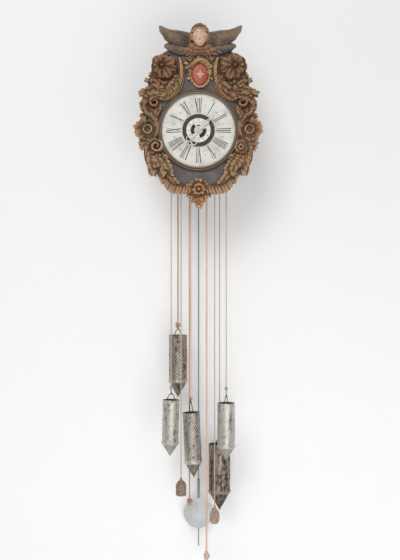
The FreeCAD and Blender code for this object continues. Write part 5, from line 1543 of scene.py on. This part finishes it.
@dataclass
class WingedHead:
    """The child's head, its hair, its wings and the feather ruff."""

    middle: Triple = (3.0, SHIELD_FACE - 15.0, DIAL_Z + 219.6)
    half_wide: float = 17.8
    half_high: float = 24.8
    deep: float = 17.0

    # Place across and up, width and height as shares of the head's, and how far it stands out in
    # millimetres, where it does; what is not in the middle is on both sides.
    FEATURES: ClassVar[dict[str, tuple[float, ...]]] = {
        "forehead": (0.0, 0.55, 0.5, 0.3, 0.8), "eye_sockets": (0.38, 0.03, 0.2, 0.1, -2.2),
        "eyes": (0.38, 0.02, 0.1, 0.05, 1.5), "brows": (0.38, 0.17, 0.24, 0.05, 0.9),
        "bridge": (0.0, 0.0, 0.08, 0.16, 2.0), "nose": (0.0, -0.22, 0.09, 0.09, 3.6),
        "nostrils": (0.12, -0.27, 0.06, 0.05, 1.6), "upper_lip": (0.0, -0.42, 0.2, 0.035, 1.3),
        "lower_lip": (0.0, -0.53, 0.16, 0.045, 1.6), "mouth": (0.0, -0.475, 0.2, 0.018, -1.5),
        "cheeks": (0.46, -0.27, 0.22, 0.2, 2.0), "chin": (0.0, -0.78, 0.2, 0.12, 2.2),
        "chin_fold": (0.0, -0.63, 0.2, 0.05, -0.8)}
    PAINT: ClassVar[dict[str, tuple[float, ...]]] = {
        "blush": (0.46, -0.27, 0.24, 0.17), "lips": (0.0, -0.48, 0.2, 0.075),
        "brows": (0.38, 0.2, 0.22, 0.04), "eyes": (0.38, 0.03, 0.15, 0.06),
        "iris": (0.38, 0.03, 0.08, 0.06)}
    WING_ROOT: ClassVar[float] = 478
    WING_SPAN: ClassVar[float] = 247

    def face(self) -> Piece:
        """The head with its carved and painted features."""
        obj = ball(112, 80)
        x, y, z = coords(obj.data).T
        jaw = 1 - 0.15 * np.clip(-z, 0, 1) ** 1.8 - 0.04 * np.clip(z, 0, 1) ** 2
        front = np.clip(-y, 0, 1)
        push = np.zeros(len(x))
        for across, up, wide, high, out in self.FEATURES.values():
            for place in ((across, -across) if across else (across,)):
                push += out * np.exp(-((x - place) / wide) ** 2 - ((z - up) / high) ** 2)
        push *= np.clip(front * 2.5, 0, 1)
        points = np.column_stack([x * jaw * self.half_wide, y * jaw ** 0.5 * self.deep - push,
                                  z * self.half_high])
        set_coords(obj.data, (points + self.middle) * MM)
        for name, (across, up, wide, high) in self.PAINT.items():
            patch = np.exp(-((np.abs(x) - across) / wide) ** 4 - ((z - up) / high) ** 4)
            carry(obj.data, name, patch * (front > 0.1))
        bpy.ops.object.shade_smooth()
        obj.name = "child_face"
        return obj

    def hair(self) -> Piece:
        """Short curls over the crown and the sides, parted above the forehead."""
        rng = random.Random(5)
        centre = np.array(self.middle)
        curls = []
        for ring in range(7):
            lift = 0.98 - 0.19 * ring
            spread = math.sqrt(max(0.03, 1 - lift ** 2))
            count = max(3, round(11 * spread))
            for index in range(count):
                turn = 2 * math.pi * (index + 0.5 * (ring % 2) + rng.uniform(-0.2, 0.2)) / count
                if lift < 0.5 and math.cos(turn) > (0.25 if lift < 0.36 else 0.62):
                    continue
                out = np.array([spread * math.sin(turn), -spread * math.cos(turn), lift])
                full = 1.02 + 0.12 * math.sqrt(max(0.0, lift)) * spread
                spot = centre + out * (self.half_wide * full, self.deep * full, self.half_high * 1.03)
                side = np.cross(out, (0, 0, 1.0))
                side = side / max(0.2, np.linalg.norm(side))
                up = np.cross(side, out)
                first = rng.uniform(0, 2 * math.pi)
                sense = 1 if math.sin(turn) > 0 else -1
                line = []
                for share in np.linspace(0, 1, 12):
                    angle = first + sense * 2.6 * math.pi * share
                    reach = 5.6 * (1 - 0.72 * share)
                    around = side * math.cos(angle) + up * math.sin(angle)
                    line.append(spot + reach * around + out * 2.2 * share)
                fine = smooth_line(line, 26)
                girth = 2.5 * np.interp(np.linspace(0, 1, 26), (0, 0.25, 0.8, 1), (0.5, 1, 0.9, 0.35))
                curls.append(tube("curl", fine, girth, lobes=3, pitch=9.0, sides=9, depth=0.3))
        piece = joined(curls, "child_hair")
        mark_relief([piece], 1.5)
        return piece

    def wing_feathers(self, seed: int, stretch: float = 0.0) -> list[Carving]:
        """A long blade with a turned-up tip, shorter blades, a second tier and small scales at the root."""
        rng = random.Random(seed)
        blades = [(((478, 172), (400, 161), (315, 150), (264, 126), (231, 92)), 10.0, 13),
                  (((478, 198), (400, 188), (330, 176), (280, 152), (246, 118)), 9.0, 10.5),
                  (((478, 220), (400, 212), (340, 200), (292, 178), (262, 150)), 8.5, 8),
                  (((478, 243), (405, 235), (345, 222), (296, 190)), 8, 5.5),
                  (((470, 262), (400, 256), (330, 246), (268, 238)), 9, 6),
                  (((455, 280), (395, 276), (340, 268), (290, 262)), 8, 3.5),
                  (((445, 298), (400, 296), (360, 288), (322, 286)), 6, 1)]
        made = []
        for index, (spots, half, base) in enumerate(blades):
            drawn = [(across - stretch * (self.WING_ROOT - across) / self.WING_SPAN, down)
                     for across, down in spots]
            made.append(Carving(sketch(*drawn), half, 5.0, Form.FEATHER, base, lift=1.5, rows=40,
                                columns=12, seed=seed + index))
        for row in range(5):
            for index in range(5):
                across = 470 - 27 * index + rng.uniform(-5, 5)
                down = 172 + 22 * row - 5.5 * index + rng.uniform(-4, 4)
                line = sketch((across, down), (across - 20, down - 5), (across - 42, down - 9))
                made.append(Carving(line, 4.4, 4.6, Form.LOBE, base=15 - 2.2 * row - 0.5 * index, lift=1.2,
                                    rows=14, columns=10, seed=rng.randrange(99)))
        return made

    def ruff(self) -> list[Carving]:
        """Three rows of feathers under the chin, the outer ones long and nearly level."""
        throat = sketch((550, 200))[0]
        made = []
        for row, (count, inner, middle, outer, base) in enumerate(
                ((15, 20, 34, 62, 1.0), (13, 17, 28, 47, 4.0), (13, 14, 21, 33, 6.0))):
            rng = random.Random(row)
            for index in range(count):
                share = 2 * (index + 0.5) / count - 1
                way = heading(math.radians(180 - 66 * share + rng.uniform(-4, 4)))
                reach = middle + (outer - middle) * abs(share) ** 1.6
                made.append(Carving(spoke(throat, way, inner, reach), 4.6 - 0.6 * row, 7.5, Form.LOBE, base,
                                    lift=1.5, rows=18, columns=10, seed=index + 20 * row))
        return made

    def build(self) -> list[Piece]:
        """Model the head, hair, wings and ruff."""
        shown(self.face(), "case", SKIN, "flesh_paint", "cherub_head")
        shown(self.hair(), "case", HAIR, "carving")
        wings = carved_piece("feathered_wings", self.wing_feathers(3), self.wing_feathers(8, 32))
        shown(wings, "case", WING_PAINT, "wing_paint", "wings")
        collar = carved_piece("feather_collar", self.ruff())
        shown(collar, "case", RUFF_PAINT, "carving", "feather_ruff")
        return [wings, collar]


def tube(name: str, line: np.ndarray, girth: np.ndarray | float, lobes: int, pitch: float, sides: int,
         depth: float = 0.22) -> Piece:
    """A closed tube along a line, with twisted grooves.

    Args:
        name: The object's name.
        line: Points in millimetres.
        girth: Its radius at each point.
        lobes: Strands round it.
        pitch: Length of one turn of the strands.
        sides: Points round it.
        depth: How deep the grooves are, as a share of the radius.

    Returns:
        The object.
    """
    line = np.asarray(line, float)
    radius = np.broadcast_to(np.asarray(girth, float), (len(line),))
    way = np.gradient(line, axis=0)
    way /= np.linalg.norm(way, axis=1)[:, None]
    run = run_of(line)
    first = np.cross(way[0], (0.0, 1.0, 0.0))
    if np.linalg.norm(first) < 0.2:
        first = np.cross(way[0], (1.0, 0.0, 0.0))
    normal = first / np.linalg.norm(first)
    points, grooves = [], []
    around = np.linspace(0, 2 * math.pi, sides, endpoint=False)
    for index, spot in enumerate(line):
        normal = normal - way[index] * normal.dot(way[index])
        normal /= np.linalg.norm(normal)
        other = np.cross(way[index], normal)
        phase = around - 2 * math.pi * run[index] / pitch
        groove = 1 - np.abs(np.cos(lobes * phase / 2)) if lobes else np.zeros(sides)
        reach = radius[index] * (1 - depth * groove ** 2)
        points.append(spot + np.outer(np.cos(around) * reach, normal)
                      + np.outer(np.sin(around) * reach, other))
        grooves.append(groove)
    verts = np.vstack(points + [line[:1], line[-1:]]) * MM
    last = (len(line) - 1) * sides
    pairs = [(side, (side + 1) % sides) for side in range(sides)]
    faces = [(row + side, row + after, row + sides + after, row + sides + side)
             for row in range(0, last, sides) for side, after in pairs]
    for side, after in pairs:
        faces.append((last + sides, after, side))
        faces.append((last + sides + 1, last + side, last + after))
    mesh = bpy.data.meshes.new(name)
    mesh.from_pydata([tuple(vert) for vert in verts], [], faces)
    mesh.update()
    carry(mesh, "groove", np.concatenate([np.concatenate(grooves), [1.0, 1.0]]))
    mesh.shade_smooth()
    return linked(name, mesh)


def lathed(name: str, centre: Sequence[float], profile: Sequence[Point], segments: int,
           dent: float) -> Piece:
    """A turned piece.

    Args:
        name: Its name.
        centre: The place of its axis at height 0, in millimetres.
        profile: Radii and heights from its top middle to its bottom middle.
        segments: Points round it.
        dent: How far its wall is knocked in and out.

    Returns:
        The piece, closed.
    """
    obj = grid(segments, len(profile) - 1)
    turn = np.tile(np.linspace(0, 2 * math.pi, segments + 1), len(profile))
    radius = np.repeat([reach for reach, _ in profile], segments + 1)
    height = np.repeat([level for _, level in profile], segments + 1)
    flat = np.column_stack([np.sin(turn), -np.cos(turn)])
    bulge = np.array([noise.noise(Vector((x * 1.6 + centre[0], y * 1.6, z * 0.05)))
                      for (x, y), z in zip(flat, height)]) * dent * np.minimum(1, radius / 8)
    points = np.column_stack([flat * (radius + bulge)[:, None], height]) + np.array(centre)
    set_coords(obj.data, points * MM)
    in_edit(obj, lambda: weld(0.01), face_out)
    soften(obj, 35)
    obj.name = name
    return obj


def knot(name: str, centre: Sequence[float], size: float, girth: float) -> Piece:
    """A pulled knot: one cord wound through itself."""
    line = []
    for turn in np.linspace(0, 2 * math.pi, 49):
        reach = size * (0.62 + 0.38 * math.cos(3 * turn))
        loop = (reach * math.cos(2 * turn), 0.7 * size * math.sin(3 * turn), reach * math.sin(2 * turn))
        line.append(np.array(centre) + np.array(loop))
    return tube(name, np.array(line), girth, lobes=3, pitch=2.8 * 2 * girth, sides=10)


class Lay(Enum):
    """How a rope is made up: strands round it and the length of a turn in diameters."""

    THICK = (3, 2.6)
    BEADED = (2, 2.2)
    THIN = (3, 3.0)


@dataclass
class Rope:
    """One rope from its weight over its wheel to its free end."""

    name: str
    row: float
    weight_x: float
    weight_end: float
    tail_x: float
    tail_end: float
    tail_node: str
    diameter: float = 2.6
    lay: Lay = Lay.THIN
    finish: Finish = GREY_CORD
    slot: str = "grey_cord"

    def route(self, x: float, end: float) -> list[tuple[float, float, float]]:
        """Control points from the top of the wheel down one side."""
        middle = (self.weight_x + self.tail_x) / 2
        radius = abs(self.weight_x - self.tail_x) / 2
        gap = 6 * self.diameter
        top = WHEEL_Z + radius
        return [(middle, self.row, top), (x, self.row, top), (x, self.row, WHEEL_Z - gap),
                (x, self.row, end + gap), (x, self.row, end)]

    def centreline(self, side: str, x: float, end: float) -> np.ndarray:
        """Points of the route's smooth spline, in millimetres."""
        route = self.route(x, end)
        curve = bpy.data.curves.new(f"{self.name}_{side}_route", "CURVE")
        curve.dimensions = "3D"
        spline = curve.splines.new("NURBS")
        spline.points.add(len(route) - 1)
        for point, spot in zip(spline.points, route):
            point.co = (*[part * MM for part in spot], 1.0)
        spline.order_u = 3
        spline.use_endpoint_u = True
        curve.resolution_u = 48
        holder = linked(curve.name, curve)
        mesh = bpy.data.meshes.new_from_object(holder)
        line = coords(mesh) / MM
        bpy.data.objects.remove(holder)
        bpy.data.meshes.remove(mesh)
        return line

    def side(self, side: str, x: float, end: float, body: str, far_end: str, held: Piece) -> None:
        """Model one fall of the rope, from its wheel down to what hangs on it."""
        line = self.centreline(side, x, end)
        run = run_of(line)
        strands, turns = self.lay.value
        pitch = turns * self.diameter
        count = int(run[-1] / (pitch / 9))
        wanted = np.linspace(0, run[-1], count)
        fine = sampled(line, run, wanted)
        radius: Any = self.diameter / 2
        if self.lay is Lay.BEADED:
            radius = self.diameter / 2 * (0.86 + 0.2 * np.abs(np.sin(np.pi * wanted / pitch)))
        obj = tube(f"{self.name}_rope_{side}", fine, radius, strands, pitch, sides=14)
        dressed(obj, self.finish)
        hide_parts(f"{self.name}_rope")
        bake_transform(obj)
        LOG.info("%s: %.0f mm of rope to %s", obj.name, run[-1], held.name)

    def tied_end(self) -> Piece:
        """The knot and the frayed strands at the free end, where no counterweight hangs."""
        body, size = f"{self.name}_tail_end", 1.5 * self.diameter
        middle = np.array([self.tail_x, self.row, self.tail_end - 0.7 * size])
        strands = [knot("tie", middle, size, 0.34 * size)]
        for index in range(7):
            out = np.array([*heading(2 * math.pi * index / 7), 0.0])
            drop = (2.0 + 0.3 * math.sin(3 * index)) * size
            line = [middle + out * 0.2 * size, middle + out * 0.5 * size - (0, 0, 1.2 * size),
                    middle + out * 0.75 * size - (0, 0, drop)]
            girth = np.linspace(0.2, 0.1, 14) * size
            strands.append(tube("strand", smooth_line(line, 14), girth, lobes=2, pitch=size, sides=8))
        return shown(joined(strands, f"{self.name}_end_knot"), body, self.finish, "hemp", self.tail_node)

    def build(self) -> None:
        """Model both falls, and the knot at a free end."""
        far_end, held = "object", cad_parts[self.tail_node]
        if self.tail_node.endswith("_tail"):
            far_end, held = "knot", self.tied_end()
        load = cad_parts[f"{self.name}_weight"]
        self.side("weight", self.weight_x, self.weight_end, f"{self.name}_load", "object", load)
        self.side("tail", self.tail_x, self.tail_end, f"{self.name}_tail_end", far_end, held)


@dataclass
class Weight:
    """A filled tin can with a point, on a bent wire, with the knot of its rope."""

    rope: Rope
    rim: float
    radius: float
    length: float
    point: float
    seam: float
    pale: Colour
    dark: Colour
    tarnish: float
    spread: float
    crown: float
    knot_size: float = 3.6
    knot_finish: Finish = GREY_CORD
    lean: float = 0.0
    lines: int = 0

    def __post_init__(self) -> None:
        """Take its name and its place from its rope."""
        self.name = self.rope.name
        self.x, self.y, self.top = self.rope.weight_x, self.rope.row, self.rope.weight_end

    def leaned(self, obj: Piece) -> Piece:
        """Let a piece hang a little askew from the rope's eye."""
        points = coords(obj.data)
        pivot = np.array([self.x, self.top]) * MM
        flat = (points[:, [0, 2]] - pivot) @ np.array([turned(np.array([1.0, 0.0]), self.lean),
                                                       turned(np.array([0.0, 1.0]), self.lean)])
        points[:, [0, 2]] = flat + pivot
        set_coords(obj.data, points)
        return obj

    def can(self) -> Piece:
        """The can, open at the top."""
        wide, low = self.radius, -self.length
        profile = [(0.0, -6.0), (0.5 * wide, -5.4), (wide - 1.4, -6.5), (wide - 1.3, -0.4),
                   (wide - 0.6, 0.4), (wide + 0.5, 0.2), (wide + 0.9, -1.2), (wide + 0.3, -2.6),
                   (wide, -3.4)]
        profile += [(wide, low * share - 3.4 * (1 - share)) for share in (0.2, 0.4, 0.6, 0.8)]
        profile += [(wide, low + 7.5), (wide + 0.7, low + 6.8), (wide + 1.2, low + 4.4),
                    (wide + 1.5, low + 2.0), (wide + 0.9, low + 0.4), (0.94 * wide, low - 0.6)]
        profile += [(wide * (0.94 - 0.92 * share), low - 0.6 - (self.point - 0.6) * share)
                    for share in (0.25, 0.5, 0.75, 1)]
        profile.append((0.0, low - self.point))
        obj = lathed(f"{self.name}_can", (self.x, self.y, self.rim), profile, segments=64, dent=0.5)
        points = coords(obj.data) / MM
        reach = np.hypot(points[:, 0] - self.x, points[:, 1] - self.y)
        carry(obj.data, "inside", (reach < wide - 0.9) & (points[:, 2] > self.rim - 9))
        return obj

    def bail(self) -> Piece:
        """The bent wire from the can's inside, and the hook from it to the rope's eye."""
        half, high = self.spread * self.radius, self.top - self.rim
        crown = self.crown * high
        side = [(half, -5), (half, 1), (0.75 * half, 0.55 * crown), (0.3 * half, 0.92 * crown), (0, crown)]
        line = [(-x, z) for x, z in side] + [(x, z) for x, z in side[-2::-1]]
        arch = smooth_line([(self.x + x, self.y, self.rim + z) for x, z in line], 60)
        wire = tube("wire", arch, 0.95, lobes=0, pitch=10, sides=10)
        gap = high - crown
        hook = [(0, -1.8), (2.2, -0.5), (1.2, 2.0), (-0.8, 0.45 * gap), (0.9, 0.75 * gap),
                (-1.6, gap + 1.5), (0, gap + 3.4), (1.7, gap + 1.6)]
        bent = smooth_line([(self.x + x, self.y - 1.2, self.rim + crown + z) for x, z in hook], 48)
        return joined([wire, tube("hook", bent, 0.9, lobes=0, pitch=10, sides=8)], f"{self.name}_bail")

    def build(self) -> Piece:
        """Model the weight on its load."""
        body = f"{self.name}_load"
        tin = Tin(f"{self.name}_tin", self.x, self.y, self.pale, self.dark, self.tarnish, self.seam,
                  self.lines)
        shown(self.leaned(self.can()), body, tin, "tin_grey", f"{self.name}_weight")
        shown(self.leaned(self.bail()), body, IRON, "iron")
        tied = knot(f"{self.name}_knot", (self.x, self.y, self.top + 0.6 * self.knot_size), self.knot_size,
                    0.3 * self.knot_size)
        return shown(tied, body, self.knot_finish, "hemp")


ROPES = {rope.name: rope for rope in (
    Rope("alarm", row=-133, weight_x=-65.4, weight_end=-738.6, tail_x=-41.8, tail_end=-952.7,
         tail_node="alarm_counterweight"),
    Rope("quarter", row=-64, weight_x=-50.8, weight_end=-593.6, tail_x=-22.2, tail_end=-1020.7,
         diameter=3.8, lay=Lay.BEADED, finish=BEADED, slot="beaded_cord", tail_node="quarter_tail"),
    Rope("going", row=-99, weight_x=-19.5, weight_end=-769.6, tail_x=19.5, tail_end=-1145.7, diameter=4.5,
         lay=Lay.THICK, finish=HEMP, slot="hemp", tail_node="going_tail"),
    Rope("repeat", row=-133, weight_x=66.3, weight_end=-741.1, tail_x=38.7, tail_end=-1018.7,
         tail_node="repeat_counterweight"),
    Rope("hour", row=-64, weight_x=52, weight_end=-860.6, tail_x=19, tail_end=-1149.7,
         tail_node="hour_tail"),
)}

WEIGHTS = (
    Weight(ROPES["alarm"], rim=-766, radius=19.8, length=105.5, point=28.8, seam=-871.5,
           pale=srgb(202, 199, 189), dark=srgb(104, 98, 88), tarnish=0.62, spread=0.45, crown=0.55,
           lean=-1.2),
    Weight(ROPES["quarter"], rim=-615, radius=22.2, length=116, point=37, seam=-731.0,
           pale=srgb(190, 182, 170), dark=srgb(80, 71, 62), tarnish=0.7,
           knot_size=6.0, knot_finish=KNOT_HEMP, spread=0.35, crown=0.7, lines=16),
    Weight(ROPES["going"], rim=-801, radius=20.7, length=123, point=35.3, seam=-924.0,
           pale=srgb(206, 200, 190), dark=srgb(84, 78, 70), tarnish=0.68,
           knot_size=4.0, knot_finish=BEADED, spread=0.2, crown=0.8, lean=2.5, lines=22),
    Weight(ROPES["repeat"], rim=-773.5, radius=21, length=106.6, point=30, seam=-880.1,
           pale=srgb(202, 200, 192), dark=srgb(106, 100, 91), tarnish=0.62, spread=0.16, crown=0.55),
    Weight(ROPES["hour"], rim=-884, radius=26.3, length=118.7, point=44.5, seam=-1002.7,
           pale=srgb(164, 150, 138), dark=srgb(66, 55, 48), tarnish=0.9, spread=0.35, crown=0.6),
)

NODE_FINISHES: dict[Finish, tuple[str, ...]] = {
    PLATE_WOOD: ("frame_top", "frame_bottom", "movement_plates", "hammer_rails"),
    CASE_WOOD: ("side_boards",),
    IRON: ("hanging_loop", "pendulum_cock", "bell_stands", "hour_hammer", "quarter_hammer", "alarm_hammer",
           "anchor"),
    BELL: ("hour_bell", "quarter_bell"),
    WHEEL_WOOD: ("going_great_wheel", "minute_arbor", "second_wheel", "escape_wheel", "minute_wheel",
                 "hour_wheel", "quarter_strike_wheel", "hour_strike_wheel", "repeat_strike_wheel",
                 "alarm_wheel", "quarter_fly", "hour_fly"),
    WIRE: ("pendulum_rod",), BOB_TIN: ("pendulum_bob",),
    RUST: ("alarm_counterweight",), PALE_RUST: ("repeat_counterweight",),
    BOARD_PAINT: ("shield_board",), DialPaint("dial_white"): ("dial_panel",), BEZEL_PAINT: ("dial_bezel",),
}


@dataclass
class Studio:
    """The camera, the wall and the lights."""

    eye: Triple = (0.0036, -2.330, -0.4788)
    lens: float = 58.93
    wall_gap: float = 0.001
    reach: float = 6.0
    top: float = 4.0
    foot: float = -2.0

    def camera(self) -> None:
        """The photograph's view, straight at the wall."""
        data = bpy.data.cameras.new("camera")
        data.sensor_width = 36.0
        data.lens = self.lens
        data.clip_end = 50.0
        obj = linked("camera", data)
        obj.location = self.eye
        obj.rotation_euler = (math.pi / 2, 0, 0)
        bpy.context.scene.camera = obj

    def planes(self) -> None:
        """A plain wall and a pale floor."""
        wide = (-self.reach, self.reach)
        wall = [(x, self.wall_gap, z) for z in (self.foot, self.top) for x in wide]
        floor = [(x, y, self.foot) for y in wide for x in wide]
        for name, corners in (("wall", wall), ("floor", floor)):
            obj = added(bpy.ops.mesh.primitive_plane_add, size=1)
            obj.name = name
            set_coords(obj.data, np.array(corners))
            dressed(obj, Plaster(f"{name}_white"))

    def lamp(self, name: str, place: Triple, aim: Triple, size: float, power: float) -> None:
        """One soft square lamp."""
        data = bpy.data.lights.new(name, "AREA")
        data.shape = "SQUARE"
        data.size = size
        data.energy = power
        obj = linked(name, data)
        obj.location = place
        obj.rotation_euler = (Vector(aim) - Vector(place)).to_track_quat("-Z", "Y").to_euler()

    def build(self) -> None:
        """Set up the view, the wall and the light."""
        self.camera()
        self.planes()
        world = bpy.data.worlds.new("soft_light")
        world.use_nodes = True
        tree = world.node_tree
        soft = tree.nodes["Background"]
        soft.inputs[0].default_value = (1.0, 1.0, 1.0, 1.0)
        soft.inputs[1].default_value = 0.33
        white = tree.nodes.new("ShaderNodeBackground")
        white.inputs[0].default_value = (0.9, 0.9, 0.9, 1.0)
        rays = tree.nodes.new("ShaderNodeLightPath")
        both = tree.nodes.new("ShaderNodeMixShader")
        sources = (rays.outputs["Is Camera Ray"], soft.outputs[0], white.outputs[0])
        for source, target in zip(sources, both.inputs):
            tree.links.new(source, target)
        tree.links.new(both.outputs[0], tree.nodes["World Output"].inputs[0])
        bpy.context.scene.world = world
        self.lamp("rear", (0.9, 2.2, 0.9), (0, 0, -0.3), size=1.4, power=16)
        self.lamp("key", (-0.6, -2.3, 1.1), (0, 0, -0.3), size=1.3, power=31)
        self.lamp("fill", (0.5, -2.4, -1.5), (0, 0, -0.9), size=1.8, power=23)
        bpy.context.scene.view_settings.view_transform = "Standard"


def dress_nodes() -> None:
    """Give every CAD node that stays its finish."""
    for finish, names in NODE_FINISHES.items():
        for name in names:
            dressed(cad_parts[name], finish)
            LOG.info("%s: %s", name, finish.name)


def main() -> None:
    """Build the scene in order."""
    logging.basicConfig(level=logging.INFO, format="%(name)s %(message)s")
    deselect()
    Studio().build()
    for weight in WEIGHTS:
        weight.build()
    for rope in ROPES.values():
        rope.build()
    dress_nodes()
    Dial().build()
    mark_relief([*carve_garland(), Pendant().build(), Cartouche().build(), *WingedHead().build()])
    bpy.context.view_layer.update()


if __name__ == "__main__":
    main()
